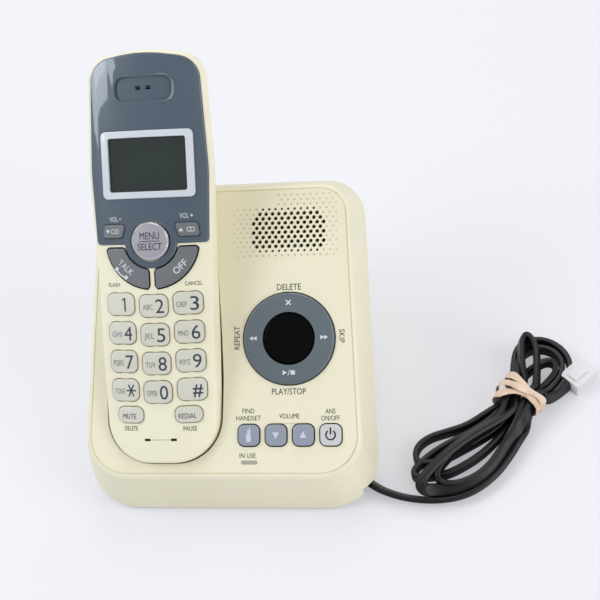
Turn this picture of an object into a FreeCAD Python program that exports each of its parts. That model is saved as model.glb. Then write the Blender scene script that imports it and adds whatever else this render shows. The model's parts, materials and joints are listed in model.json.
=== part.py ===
import FreeCAD, Part
import math
import os

import Sketcher
from FreeCAD import Placement, Rotation, Vector

# A cordless telephone answering base with its handset in the cradle.
# World frame: +Z up, +X to the right, -Y to the front, origin on the surface it stands on.
# Two more frames carry the pieces: the sloped panel of the base and the leaning handset.
# In both, the third axis points out of the visible face.

doc = FreeCAD.newDocument("AnsweringMachine")
sheet = doc.addObject("Spreadsheet::Sheet", "Sizes")

SIZES = {
    # base housing
    "panel_slope": 32, "panel_half": 53.9, "panel_front": 54.3, "panel_back": 61.2,
    "panel_lean": 2.3, "slab_depth": 18.6, "side_flare": 4.1, "back_flare": 4.8,
    "front_reach": 12.85, "front_corner": 16.5, "back_corner": 12, "corner_growth": 4,
    "shoulder_radius": 2.8, "base_wall": 2.2, "crease_inset": 1.5, "crease_width": 0.5,
    "crease_depth": 0.35, "origin_back": -19.5,
    # bottom cover and what stands on it
    "cover_step": 1.3, "cover_draft": 4, "foot_height": 1.2, "foot_radius": 5,
    "foot_inset": 13, "foot_screw_gap": 9, "screw_radius": 1.5, "screw_head_radius": 2.7,
    "screw_head": 1.4, "well_width": 24, "well_length": 22, "well_rise": 14,
    "well_setback": 40, "channel_width": 8, "channel_rise": 5.8, "trough_wall": 1.4,
    "exit_across": 55.5, "exit_setback": 9.5, "exit_reach": 30,
    # round rocker, counter window
    "ring_across": 27.2, "ring_radius": 18.1, "ring_bore": 10.45, "ring_proud": 1.3,
    "ring_gap": 0.45, "ring_flange": 1.1, "ring_tilt_room": 0.8, "ring_drop": 0.8,
    "window_radius": 10, "window_proud": 0.7, "window_depth": 3.2, "pivot_outer": 12.9,
    "pivot_inner": 10.7, "pivot_thickness": 0.6, "pivot_pin_radius": 0.6, "pivot_gap": 0.1,
    "module_width": 15, "module_height": 11,
    # small square buttons and the in-use light
    "button_side": 8.2, "button_corner": 2.35, "button_pitch": 10.8, "button_down": 37.7,
    "button_proud": 1.1, "button_gap": 0.3, "button_travel": 0.8, "flange_lip": 0.6,
    "flange_thickness": 1, "flange_gap": 0.2, "key_edge": 0.5,
    "light_length": 6.2, "light_height": 1.25, "light_down": 48.3, "fit_gap": 0.1,
    # loudspeaker and its grille
    "speaker_up": 42.3, "speaker_radius": 14.5, "speaker_depth": 9, "magnet_radius": 8,
    "magnet_depth": 5, "grille_pitch": 2.56, "grille_row": 1.86, "grille_hole": 1.6,
    "grille_small_hole": 1.05,
    # base electronics
    "board_thickness": 1.6, "base_mat_thickness": 0.8, "board_edge_gap": 1.2,
    "boss_radius": 2.6, "jack_width": 13, "jack_length": 13, "jack_height": 9,
    "power_jack_width": 9, "power_jack_bore": 3, "antenna_width": 3, "antenna_length": 26,
    "antenna_inset": 6.2, "chip_side": 14, "chip_height": 1.2, "chip_corner": 0.3,
    # handset shell
    "handset_across": -23.1, "handset_down": 46.5, "handset_rise": 4.5, "handset_lean": 11,
    "tail": 3.5, "tail_half": 22.4, "tail_radius": 18, "grip_half": 23.6, "grip_drop": 30,
    "waist_half": 23.9, "waist_drop": 9.3, "head_half": 25.2, "crown_half": 23.2,
    "crown_gap": 11.2, "crown_rise": 3.3, "crown_radius": 11, "crown_arch": 60,
    "side_radius": 70, "handset_depth": 27, "face_arch": 70, "head_widest": 7.5,
    "grip_widest": 10, "parting_depth": 7.5, "head_face_inset": 1, "grip_face_inset": 1.6,
    "back_inset": 7.5, "head_depth": 19, "shell_wall": 1.8, "side_thinning": 0.5,
    "face_round": 1.6,
    # bezel, display and slots
    "bezel_drop": 1.1, "bezel_seat": 1, "bezel_proud": 0.6, "bezel_inset": 1.85,
    "bezel_edge": 0.6, "bezel_corner": 1.8, "bezel_lobe": 10.5, "display_gap": 9.7,
    "display_width": 36.9, "display_height": 26.1, "display_corner": 2, "display_border": 2.65,
    "display_proud": 1.2, "window_width": 31, "glass_thickness": 0.8, "ear_gap": 10.6,
    "ear_width": 22.8, "ear_height": 9.9, "ear_corner": 3.7, "ear_recess": 0.7,
    "ear_slot_width": 2.1, "ear_slot_height": 0.55, "ear_slot_pitch": 4, "mic_slot_up": 7.4,
    "mic_slot_pitch": 10.6, "mic_slot_width": 2.3, "mic_slot_height": 0.8,
    # handset keys
    "menu_radius": 7.3, "menu_well": 8, "menu_proud": 1.5, "talk_inner": 11.1,
    "talk_outer": 18.4, "talk_drop": 1.5, "talk_middle": 1.4, "talk_corner": 1.1,
    "key_pitch": 13.45, "key_row_pitch": 11.27, "keypad_gap": 1.6, "key_drop": 0.8,
    "key_width": 11.1, "key_height": 8.6, "key_corner": 2.6, "key_proud": 0.9, "key_gap": 0.25,
    "key_travel": 0.7, "low_key_gap": 2.35, "low_key_across": 11.7, "low_key_rise": 6.85,
    "low_key_width": 10.4, "low_key_height": 6.3, "low_key_corner": 2.6, "soft_rise": 2.6,
    "soft_height": 5.2, "soft_outer": 18.9, "soft_inner": 10.6, "soft_skew": 0.8,
    "soft_corner": 1.1, "mat_thickness": 1,
    # handset inside
    "handset_board_half": 18.5, "handset_board_low": 9, "receiver_gap": 2.9,
    "lcd_width": 33.4, "lcd_height": 22.2, "receiver_radius": 8.5, "receiver_depth": 4,
    "microphone_radius": 3, "microphone_depth": 1.6, "cell_radius": 5.2, "cell_length": 44,
    "cell_room": 2.5, "tray_thickness": 1, "tray_depth": 11, "bay_half": 12.5, "bay_low": 29,
    "cover_half": 14.5, "cover_overlap": 2.5, "cover_slide": 8, "cover_corner": 0.8,
    "cover_thickness": 1.2, "slide_gap": 0.15, "thumb_half": 6, "thumb_pitch": 2,
    "thumb_width": 0.8, "thumb_depth": 0.5, "contact_across": 7, "contact_width": 3.4,
    "contact_height": 4, "contact_depth": 17, "contact_thickness": 0.4, "spring_gap": 0.3,
    # cradle
    "cradle_gap": 0.8, "cradle_wall": 1.8, "cradle_floor_gap": 0.5,
    # line cord
    "cord_diameter": 4.4, "tie_thickness": 1.2, "plug_width": 9.6, "plug_height": 6.4,
    "plug_length": 12.3, "plug_seat": 9, "tab_thickness": 0.6,
}

# Heights up the handset's face follow from one another, from the microphone to the crown.
HEIGHTS = {
    "low_key_up": "mic_slot_up + low_key_rise + low_key_height / 2",
    "key_last_up": "low_key_up + low_key_height / 2 + low_key_gap + key_height / 2",
    "key_first_up": "key_last_up + 3 * key_row_pitch",
    "menu_up": "key_first_up + key_height / 2 + keypad_gap + talk_outer",
    "bezel_low": "menu_up - bezel_drop",
    "talk_top": "bezel_low - talk_drop",
    "soft_low": "bezel_low + soft_rise",
    "soft_top": "soft_low + soft_height",
    "display_up": "soft_top + display_gap + display_height / 2",
    "ear_up": "display_up + display_height / 2 + ear_gap + ear_height / 2",
    "crown_up": "ear_up + ear_height / 2 + crown_gap",
    "head_up": "display_up - display_border",
    "waist_up": "menu_up - waist_drop",
    "grip_up": "waist_up - grip_drop",
    "cell_low": "bay_low + cell_room",
    "bay_high": "cell_low + cell_length + cell_room",
    "handset_board_high": "ear_up - receiver_radius - receiver_gap",
}

for row, (alias, value) in enumerate([*SIZES.items(), *HEIGHTS.items()], 1):
    sheet.set(f"A{row}", str(value) if alias in SIZES else f"={value}")
    sheet.setAlias(f"A{row}", alias)
doc.recompute()


def size(alias):
    """A driving dimension as the sheet holds it."""
    return float(sheet.get(alias))


# ---------------------------------------------------------------- frames

slope = math.radians(size("panel_slope"))
front_low = size("panel_front") + size("front_reach")
panel_height = (size("foot_height") + front_low * math.sin(slope)
                + size("slab_depth") * math.cos(slope))
panel_seat = Placement(Vector(0, size("origin_back"), panel_height),
                       Rotation(Vector(1, 0, 0), size("panel_slope")))
handset_in_panel = Placement(
    Vector(size("handset_across"), -size("handset_down"), size("handset_rise")),
    Rotation(Vector(1, 0, 0), size("handset_lean")))
handset_seat = panel_seat.multiply(handset_in_panel)
world = Placement()
panel_from_world = panel_seat.inverse()


def moved(frame, across=0, up=0, out=0):
    """A frame shifted along its own axes."""
    return frame.multiply(Placement(Vector(across, up, out), Rotation()))


# ---------------------------------------------------------------- drawing helpers

def rounded_outline(corners, radii, level=0.0):
    """A closed wire of straight runs joined by tangent arcs."""
    points = [Vector(x, y, level) for x, y in corners]
    joins = []
    for index, here in enumerate(points):
        inward = (points[index - 1] - here).normalize()
        onward = (points[(index + 1) % len(points)] - here).normalize()
        half_angle = inward.getAngle(onward) / 2
        reach = radii[index] / math.tan(half_angle)
        depth = radii[index] / math.sin(half_angle) - radii[index]
        bisector = (inward + onward).normalize()
        joins.append((here + inward * reach, here + bisector * depth, here + onward * reach))
    edges = []
    for index, (start, middle, end) in enumerate(joins):
        edges.append(Part.Arc(start, middle, end).toShape())
        edges.append(Part.LineSegment(end, joins[(index + 1) % len(joins)][0]).toShape())
    return Part.Wire(edges)


def prism(corners, radii, low, high):
    """A straight solid between two levels on a rounded outline."""
    face = Part.Face(rounded_outline(corners, radii, low))
    return face.extrude(Vector(0, 0, high - low))


def rectangle(half_width, half_height, across=0.0, up=0.0):
    """The corners of an upright rectangle round a centre."""
    return [(across - half_width, up - half_height), (across + half_width, up - half_height),
            (across + half_width, up + half_height), (across - half_width, up + half_height)]


def tile(width, height, corner, low, high, across=0.0, up=0.0):
    """A rounded rectangular block."""
    return prism(rectangle(width / 2, height / 2, across, up), [corner] * 4, low, high)


def carried(shape, seat):
    """A shape moved as a whole by a frame."""
    shape.Placement = seat.multiply(shape.Placement)
    return shape


def drum(radius, low, high, across=0.0, up=0.0):
    """An upright round block."""
    return Part.makeCylinder(radius, high - low, Vector(across, up, low))


def block(left, right, near, far, low, high):
    """A plain block between six faces."""
    return Part.makeBox(right - left, far - near, high - low, Vector(left, near, low))


def merged(shapes):
    """One solid out of several that touch."""
    return shapes[0].multiFuse(shapes[1:]).removeSplitter()


def without(shape, tools):
    """A shape with several tools cut out of it."""
    return shape.cut(Part.makeCompound(tools))


def round_edges(shape, radius, level):
    """Round every edge of a shape that lies flat at one level."""
    chosen = [edge for edge in shape.Edges
              if abs(edge.BoundBox.ZMin - level) < 1e-4 and abs(edge.BoundBox.ZMax - level) < 1e-4]
    return shape.makeFillet(radius, chosen)


nodes = []


def feature(label, shape, seat):
    """A node whose shape is made by Part functions."""
    made = doc.addObject("Part::Feature", label)
    made.Label = label
    made.Shape = shape
    made.Placement = seat
    nodes.append(made)
    return made


def new_body(label, seat):
    """A PartDesign body in one of the frames."""
    made = doc.addObject("PartDesign::Body", label)
    made.Label = label
    made.Placement = seat
    nodes.append(made)
    return made


def new_sketch(body, name, level="0"):
    """A sketch parallel to the body's XY plane, at a level given by an expression."""
    sketch = body.newObject("Sketcher::SketchObject", f"{body.Label}_{name}")
    plane = next(item for item in body.Origin.OriginFeatures if item.Role == "XY_Plane")
    sketch.AttachmentSupport = [(plane, "")]
    sketch.MapMode = "FlatFace"
    sketch.setExpression(".AttachmentOffset.Base.z", level)
    return sketch


def draw_circle(sketch, radius):
    """A circle round the origin whose radius is an expression."""
    ring = sketch.addGeometry(Part.Circle(Vector(0, 0, 0), Vector(0, 0, 1), 5), False)
    sketch.addConstraint(Sketcher.Constraint("Coincident", ring, 3, -1, 1))
    index = sketch.addConstraint(Sketcher.Constraint("Radius", ring, 5))
    sketch.setExpression(f"Constraints[{index}]", radius)


def draw_rounded_rectangle(sketch, width, height, corner):
    """A rounded rectangle round the origin; its three sizes are expressions."""
    half, bend = 10.0, 2.0
    flat = half - bend
    turns = [(flat, -flat, -90), (flat, flat, 0), (-flat, flat, 90), (-flat, -flat, 180)]
    ends = [(-flat, -half, flat, -half), (half, -flat, half, flat),
            (flat, half, -flat, half), (-half, flat, -half, -flat)]
    lines = []
    arcs = []
    for (x0, y0, x1, y1), (cx, cy, start) in zip(ends, turns):
        lines.append(sketch.addGeometry(Part.LineSegment(Vector(x0, y0, 0), Vector(x1, y1, 0))))
        circle = Part.Circle(Vector(cx, cy, 0), Vector(0, 0, 1), bend)
        arc = Part.ArcOfCircle(circle, math.radians(start), math.radians(start + 90))
        arcs.append(sketch.addGeometry(arc))
    for index in range(4):
        sketch.addConstraint(Sketcher.Constraint("Tangent", lines[index], 2, arcs[index], 1))
        following = lines[(index + 1) % 4]
        sketch.addConstraint(Sketcher.Constraint("Tangent", arcs[index], 2, following, 1))
    for index in (0, 2):
        sketch.addConstraint(Sketcher.Constraint("Horizontal", lines[index]))
        sketch.addConstraint(Sketcher.Constraint("Vertical", lines[index + 1]))
    for index in (1, 2, 3):
        sketch.addConstraint(Sketcher.Constraint("Equal", arcs[0], arcs[index]))
    sketch.addConstraint(Sketcher.Constraint("Symmetric", lines[0], 1, lines[2], 1, -1, 1))
    across = Sketcher.Constraint("DistanceX", lines[3], 1, lines[1], 1, 2 * half)
    upward = Sketcher.Constraint("DistanceY", lines[0], 1, lines[2], 1, 2 * half)
    for constraint, expression in ((across, width), (upward, height),
                                   (Sketcher.Constraint("Radius", arcs[0], bend), corner)):
        index = sketch.addConstraint(constraint)
        sketch.setExpression(f"Constraints[{index}]", expression)


def add_pad(body, sketch, length, name):
    """Pad a sketch downwards, into the object, by an expression."""
    pad = body.newObject("PartDesign::Pad", f"{body.Label}_{name}")
    pad.Profile = sketch
    pad.Reversed = True
    pad.setExpression("Length", length)
    sketch.Visibility = False
    return pad


def add_edge_round(body, base, radius, level):
    """Round the edges of a pad that lie at one level."""
    doc.recompute()
    names = [f"Edge{index}" for index, edge in enumerate(base.Shape.Edges, 1)
             if abs(edge.BoundBox.ZMin - level) < 1e-4 and abs(edge.BoundBox.ZMax - level) < 1e-4]
    fillet = body.newObject("PartDesign::Fillet", f"{body.Label}_edge")
    fillet.Base = (base, names)
    fillet.setExpression("Radius", radius)
    return fillet


def plate(label, seat, width, height, corner, top, thickness):
    """A flat rounded plate as a body; every size is an expression."""
    body = new_body(label, seat)
    sketch = new_sketch(body, "outline", top)
    draw_rounded_rectangle(sketch, width, height, corner)
    add_pad(body, sketch, thickness, "plate")
    return body


def disc(label, seat, radius, top, thickness):
    """A flat round plate as a body; every size is an expression."""
    body = new_body(label, seat)
    sketch = new_sketch(body, "outline", top)
    draw_circle(sketch, radius)
    add_pad(body, sketch, thickness, "disc")
    return body


# ---------------------------------------------------------------- levels in the two frames

base_flange_top = "-(Sizes.base_wall + Sizes.flange_gap)"
ring_flange_top = -(size("base_wall") + size("ring_tilt_room"))
ring_flange_low = ring_flange_top - size("ring_flange")
base_board_top = ring_flange_low - size("ring_drop") - size("base_mat_thickness")
pivot_low = ring_flange_low - size("pivot_thickness") / 2


def arch_drop(across, depth=0):
    """How far a layer of the handset's arched face has fallen at a distance from its crest."""
    radius = size("face_arch") - depth
    return radius - math.sqrt(radius ** 2 - across ** 2)


# Depths under the arched face of the handset, and the level of its flat circuit board.
key_flange_depth = size("shell_wall") + size("flange_gap")
handset_mat_depth = (key_flange_depth + size("flange_thickness") + size("key_travel")
                     + size("fit_gap"))
handset_mat_low = handset_mat_depth + size("mat_thickness")
handset_board_top = -(handset_mat_low + arch_drop(size("handset_board_half"), handset_mat_low))


# ---------------------------------------------------------------- handset outline

def handset_outline(head_inset, grip_inset, level):
    """The handset's outline at one level, with its head and its grip drawn in."""
    crown = size("crown_up") - head_inset
    right = [(size("tail_half") - grip_inset, grip_inset - size("tail"),
              size("tail_radius") - grip_inset),
             (size("grip_half") - grip_inset, size("grip_up"), size("side_radius")),
             (size("waist_half") - grip_inset, size("waist_up"), size("side_radius")),
             (size("head_half") - head_inset, size("head_up"), size("side_radius")),
             (size("crown_half") - head_inset, crown - size("crown_rise"),
              size("crown_radius") - head_inset)]
    corners = [(x, y) for x, y, _ in right]
    radii = [radius for _, _, radius in right]
    corners = corners + [(0, crown)] + [(-x, y) for x, y in reversed(corners)]
    radii = radii + [size("crown_arch")] + radii[::-1]
    return rounded_outline(corners, radii, level)


# How the sides draw in behind the widest line: share of the depth, share of the back's inset.
TAPER = [(0, 0), (0.23, 0.16), (0.5, 0.39), (0.77, 0.67), (1, 1)]


def drawn_in(depth, widest, face_inset):
    """How far a side is drawn in at a depth, before and behind its widest line."""
    if depth < widest:
        return face_inset * (1 - depth / widest)
    share = (depth - widest) / (size("handset_depth") - widest)
    for (near, low), (far, high) in zip(TAPER, TAPER[1:]):
        if share <= far:
            break
    return size("back_inset") * (low + (high - low) * (share - near) / (far - near))


def section(depth, extra=0.0, lower=0.0):
    """The handset's outline at a depth behind the top of its face."""
    head = drawn_in(depth, size("head_widest"), size("head_face_inset"))
    grip = drawn_in(depth, size("grip_widest"), size("grip_face_inset"))
    return handset_outline(head + extra, grip + extra, -depth - lower)


def handset_loft(extra, lower):
    """The rounded body of the back shell, thinner by an extra inset and set lower."""
    widest = size("grip_widest")
    depths = [widest + (size("handset_depth") - widest) * share for share, _ in TAPER]
    wires = [section(depth, extra, lower) for depth in [size("parting_depth")] + depths]
    return Part.makeLoft(wires, True, True)


def arch(depth):
    """A long cylinder whose crest is the handset's arched face, at a depth under it."""
    reach = size("crown_up")
    centre = Vector(0, -reach, -size("face_arch"))
    shape = Part.makeCylinder(size("face_arch") - depth, 3 * reach, centre, Vector(0, 1, 0))
    shape.rotate(centre, Vector(0, 1, 0), 180)
    return shape


def under_arch(shape, depth):
    """What of a shape lies deeper than a depth under the arched face."""
    return shape.common(arch(depth))


def over_arch(shape, depth):
    """What of a shape stands above a depth under the arched face."""
    return shape.cut(arch(depth))


def arched_layer(shape, near, far):
    """What of a shape lies between two depths under the arched face."""
    return over_arch(under_arch(shape, near), far)


def round_arch_edges(shape, radius, depth):
    """Round the edges of a shape's face that lies at a depth under the arched face."""
    chosen = []
    for face in shape.Faces:
        surface = face.Surface
        if isinstance(surface, Part.Cylinder) and abs(
                surface.Radius - size("face_arch") + depth) < 1e-4:
            chosen += face.Edges
    return shape.makeFillet(radius, chosen)


def side_profile(inset):
    """A wide block that gives the handset its thinner head."""
    far = size("crown_up") * 2
    half = size("head_half") * 2
    depth = size("handset_depth") - inset
    head = size("head_depth") - inset
    bend = size("bay_high") + size("cover_overlap") * 4
    slant = (depth - head) / (size("crown_up") - bend)
    tip = depth - slant * (far - bend)
    points = [Vector(-half, -far, 1), Vector(-half, far, 1), Vector(-half, far, -tip),
              Vector(-half, bend, -depth), Vector(-half, -far, -depth)]
    return Part.Face(Part.makePolygon(points + points[:1])).extrude(Vector(2 * half, 0, 0))


def bezel_block(gap, low, high):
    """The slate bezel's outline: the head of the handset and a lobe round the menu key."""
    inset = size("bezel_inset") - gap
    face = Part.Face(handset_outline(inset, inset, low))
    head = face.extrude(Vector(0, 0, high - low))
    half = size("head_half") * 2
    foot = size("bezel_low") - gap
    head = head.common(block(-half, half, foot, size("crown_up") * 2, low, high))
    upright = [edge for edge in head.Edges
               if edge.BoundBox.YMax < foot + 1e-4 and edge.BoundBox.XLength < 1e-4]
    head = head.makeFillet(size("bezel_corner"), upright)
    lobe = drum(size("bezel_lobe") + gap, low, high, 0, size("menu_up"))
    return merged([head, lobe])


def talk_block(side, grow, low, high):
    """A quarter-ring key block left (-1) or right (+1) of the middle, grown all round."""
    centre = size("menu_up")
    ring = drum(size("talk_outer") + grow, low, high, 0, centre)
    ring = ring.cut(drum(size("talk_inner") - grow, low, high, 0, centre))
    far = size("talk_outer") * 2
    near = size("talk_middle") - grow
    left, right = (near, far) if side > 0 else (-far, -near)
    sector = ring.common(block(left, right, -far, size("talk_top") + grow, low, high))
    upright = [edge for edge in sector.Edges
               if edge.BoundBox.ZLength > (high - low) * 0.9 and edge.BoundBox.XLength < 1e-4]
    return sector.makeFillet(size("talk_corner"), upright)


def soft_block(side, grow, low, high):
    """A slanted soft key block left (-1) or right (+1) of the display's foot."""
    outer = size("soft_outer")
    inner = size("soft_inner")
    skew = size("soft_skew")
    corners = [(outer - skew / 2 + grow, size("soft_top") + grow),
               (inner - skew - grow, size("soft_top") + grow),
               (inner + skew - grow, size("soft_low") - grow),
               (outer + skew / 2 + grow, size("soft_low") - grow)]
    return prism([(side * x, y) for x, y in corners], [size("soft_corner")] * 4, low, high)


KEYPAD = [("key_1", -1, 0), ("key_2", 0, 0), ("key_3", 1, 0), ("key_4", -1, 1), ("key_5", 0, 1),
          ("key_6", 1, 1), ("key_7", -1, 2), ("key_8", 0, 2), ("key_9", 1, 2),
          ("key_star", -1, 3), ("key_0", 0, 3), ("key_hash", 1, 3)]
LOW_KEYS = [("mute_key", -1), ("redial_key", 1)]
TALK_KEYS = [("talk_key", -1), ("off_key", 1)]
SOFT_KEYS = [("left_soft_key", -1), ("right_soft_key", 1)]


def key_place(column, line):
    """Where the centre of a dialling key lies."""
    drop = size("key_drop") if column == 0 else 0
    up = size("key_first_up") - line * size("key_row_pitch") - drop
    return column * size("key_pitch"), up


# ---------------------------------------------------------------- handset pieces

def make_front_shell():
    """The cream front shell: a shallow tray with every key opening and the bezel's seat."""
    deep = -size("parting_depth")
    wall = size("shell_wall")
    outer = Part.makeLoft([section(size("parting_depth")), section(-1)], True, True)
    outer = round_arch_edges(under_arch(outer, 0), size("face_round"), 0)
    thin = wall - size("side_thinning")
    hollow = Part.Face(handset_outline(size("head_face_inset") + thin,
                                       size("grip_face_inset") * 0.6 + thin, deep))
    hollow = under_arch(hollow.extrude(Vector(0, 0, -deep)), wall)
    gap = size("key_gap")
    low, high = deep, 1
    seat = over_arch(bezel_block(size("fit_gap"), low, high), size("bezel_seat"))
    tools = [hollow, seat]
    for _, column, line in KEYPAD:
        across, up = key_place(column, line)
        tools.append(tile(size("key_width") + 2 * gap, size("key_height") + 2 * gap,
                          size("key_corner") + gap, low, high, across, up))
    for _, side in LOW_KEYS:
        tools.append(tile(size("low_key_width") + 2 * gap, size("low_key_height") + 2 * gap,
                          size("low_key_corner") + gap, low, high,
                          side * size("low_key_across"), size("low_key_up")))
    tools += [talk_block(side, gap, low, high) for _, side in TALK_KEYS]
    tools += [soft_block(side, gap, low, high) for _, side in SOFT_KEYS]
    tools.append(drum(size("menu_radius") + gap, low, high, 0, size("menu_up")))
    tools.append(tile(size("lcd_width") + 2 * gap, size("lcd_height") + 2 * gap,
                      size("display_corner"), low, high, 0, size("display_up")))
    tools.append(drum(size("receiver_radius") / 2, low, high, 0, size("ear_up")))
    for side in (-1, 1):
        tools.append(tile(size("mic_slot_width"), size("mic_slot_height"),
                          size("mic_slot_height") * 0.45, low, high,
                          side * size("mic_slot_pitch") / 2, size("mic_slot_up")))
    feature("handset_front_shell", without(outer, tools), handset_seat)


def make_bezel():
    """The slate plate round the display, with its ear recess and the menu key's well."""
    seat = -size("parting_depth")
    top = size("bezel_proud")
    plate_solid = arched_layer(bezel_block(0, seat, top + 1), -top, size("bezel_seat"))
    plate_solid = round_arch_edges(plate_solid, size("bezel_edge"), -top)
    gap = size("key_gap")
    border = size("display_border")
    lens = tile(size("display_width"), size("display_height"), size("display_corner"), seat,
                top + 1, 0, size("display_up"))
    ear = tile(size("ear_width"), size("ear_height"), size("ear_corner"), seat, top + 1, 0,
               size("ear_up"))
    tools = [over_arch(lens, size("glass_thickness") - top),
             tile(size("display_width") - border, size("display_height") - border,
                  size("display_corner"), seat, top + 1, 0, size("display_up")),
             drum(size("menu_well"), seat, top + 1, 0, size("menu_up")),
             over_arch(ear, size("ear_recess") - top)]
    for side in (-1, 1):
        tools.append(tile(size("ear_slot_width"), size("ear_slot_height"),
                          size("ear_slot_height") * 0.45, seat, top + 1,
                          side * size("ear_slot_pitch") / 2, size("ear_up")))
    tools += [soft_block(side, gap, seat, top + 1) for _, side in SOFT_KEYS]
    feature("handset_bezel", without(plate_solid, tools), handset_seat)


def make_display():
    """The silver frame, the clear window under it and the liquid-crystal module."""
    top = size("display_proud")
    rim = size("glass_thickness") - size("bezel_proud")
    low = -size("parting_depth")
    width = size("display_width") - 2 * size("fit_gap")
    height = size("display_height") - 2 * size("fit_gap")
    border = size("display_border")
    frame = tile(width, height, size("display_corner"), low, top + 1, 0, size("display_up"))
    frame = round_arch_edges(arched_layer(frame, -top, rim), (top + rim) * 0.3, -top)
    opening = tile(size("window_width"), height - 2 * border + size("fit_gap"),
                   size("display_corner") / 2, low, top + 1, 0, size("display_up"))
    feature("display_frame", frame.cut(opening), handset_seat)
    glass_low = rim + size("glass_thickness")
    glass = tile(width - border, height - border, size("display_corner") * 0.9, low, top, 0,
                 size("display_up"))
    feature("display_window", arched_layer(glass, rim, glass_low), handset_seat)
    module_top = -glass_low - arch_drop(size("lcd_width") / 2, glass_low) - size("fit_gap")
    plate("handset_lcd", moved(handset_seat, 0, size("display_up"), module_top),
          "Sizes.lcd_width", "Sizes.lcd_height", "Sizes.display_corner", "0",
          f"{module_top - handset_board_top}")


def make_handset_board():
    """The handset's circuit board and the rubber key mat on it."""
    half = size("handset_board_half")
    low = size("handset_board_low")
    high = size("handset_board_high")
    top = handset_board_top
    thick = size("board_thickness")
    middle = (low + high) / 2
    board = tile(2 * half, high - low, size("key_corner"), top - thick, top, 0, middle)
    side = size("chip_side")
    chip_low = top - thick - size("chip_height")
    chips = [tile(width * side, length * side, size("chip_corner"), chip_low, top - thick,
                  across * side, high - down * side)
             for width, length, across, down in ((0.85, 0.85, 0, 2.1), (0.65, 0.5, -0.5, 1),
                                                 (0.5, 0.65, 0.6, 1.1))]
    feature("handset_circuit_board", merged([board] + chips), handset_seat)
    mat_high = size("display_up") - size("display_height") / 2 - size("button_gap")
    mat_low = low + size("button_gap")
    mat = tile(2 * half - 2 * size("button_gap"), mat_high - mat_low, size("key_corner"),
               top, 0, 0, (mat_low + mat_high) / 2)
    mat = arched_layer(mat, handset_mat_depth, handset_mat_low)
    mat = mat.cut(drum(size("microphone_radius") + size("fit_gap"), top, 0, 0,
                       size("mic_slot_up") + size("microphone_radius")))
    feature("handset_rubber_keymat", mat, handset_seat)
    disc("microphone", moved(handset_seat, 0, size("mic_slot_up") + size("microphone_radius")),
         "Sizes.microphone_radius", f"{handset_board_top} + Sizes.microphone_depth",
         "Sizes.microphone_depth")
    disc("earpiece", moved(handset_seat, 0, size("ear_up")), "Sizes.receiver_radius",
         f"{-arch_drop(size('receiver_radius'), size('shell_wall'))} - Sizes.shell_wall", "Sizes.receiver_depth")


def handset_screw_places():
    """Where the two screws of the back shell stand, up the handset."""
    clear = size("bay_high") + 3 * size("shell_wall")
    return size("bay_low") - size("shell_wall"), clear


def make_back_shell():
    """The cream back shell with its battery tray, bay opening and cover track."""
    wall = size("shell_wall")
    outer = handset_loft(0, 0).common(side_profile(0))
    hollow = handset_loft(wall, 0).common(side_profile(wall))
    deep = -size("handset_depth")
    shell = outer.cut(hollow)
    tray_top = -size("tray_depth")
    tray = block(-size("grip_half"), size("grip_half"), size("bay_low") - 4 * wall,
                 size("bay_high") + 5 * wall, tray_top - size("tray_thickness"), tray_top)
    shell = merged([shell, tray.common(outer)])
    cover_low = size("bay_low") - size("cover_overlap")
    cover_high = size("bay_high") + size("cover_overlap")
    gap = size("slide_gap")
    track_deep = size("cover_thickness") + gap
    track = block(-size("cover_half") - gap, size("cover_half") + gap,
                  cover_low - size("cover_slide") - gap, cover_high + gap,
                  deep - 1, deep + track_deep)
    bay = block(-size("bay_half"), size("bay_half"), size("bay_low"), size("bay_high"),
                deep - 1, tray_top - size("tray_thickness"))
    half = size("contact_width") / 2
    tools = [track, bay]
    for side in (-1, 1):
        across = side * size("contact_across")
        tools.append(block(across - half, across + half, -2 * size("tail") - wall,
                           2 * size("tail"), -size("contact_depth") - size("contact_height") / 2,
                           -size("contact_depth") + size("contact_height") / 2))
    for up in handset_screw_places():
        tools.append(drum(size("screw_radius"), tray_top - 2 * size("tray_thickness"),
                          tray_top + size("tray_thickness"), 0, up))
    feature("handset_back_shell", without(shell, tools), handset_seat)
    return outer


def make_battery():
    """Two cells in one pack, and the sliding cover with its thumb grooves."""
    tray = -size("tray_depth") - size("tray_thickness")
    radius = size("cell_radius")
    cells = []
    for side in (-1, 1):
        start = Vector(side * radius, size("cell_low"), tray - radius)
        cells.append(Part.makeCylinder(radius, size("cell_length"), start, Vector(0, 1, 0)))
    web = block(-radius, radius, size("cell_low"), size("cell_low") + size("cell_length"),
                tray - radius * 1.4, tray - radius * 0.6)
    feature("battery_pack", merged(cells + [web]), handset_seat)
    deep = -size("handset_depth")
    low = size("bay_low") - size("cover_overlap")
    high = size("bay_high") + size("cover_overlap")
    cover = tile(2 * size("cover_half"), high - low, size("cover_corner"), deep,
                 deep + size("cover_thickness"), 0, (low + high) / 2)
    half = size("thumb_half")
    starts = [low + size("thumb_pitch") * index for index in range(2, 7)]
    grooves = [block(-half, half, start, start + size("thumb_width"), deep,
                     deep + size("thumb_depth")) for start in starts]
    feature("battery_cover", without(cover, grooves), handset_seat)


def make_handset_contacts(outer):
    """Two sprung charging pads let into the bottom end of the back shell."""
    pads = []
    half = size("contact_width") / 2 - size("fit_gap")
    rise = size("contact_height") / 2 - size("fit_gap")
    skin = handset_loft(size("contact_thickness") * 4, 0)
    for side in (-1, 1):
        across = side * size("contact_across")
        pad = block(across - half, across + half, -2 * size("tail"), size("tail"),
                    -size("contact_depth") - rise, -size("contact_depth") + rise)
        pads.append(pad.common(outer).cut(skin))
    feature("handset_contacts", Part.makeCompound(pads), handset_seat)


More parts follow.
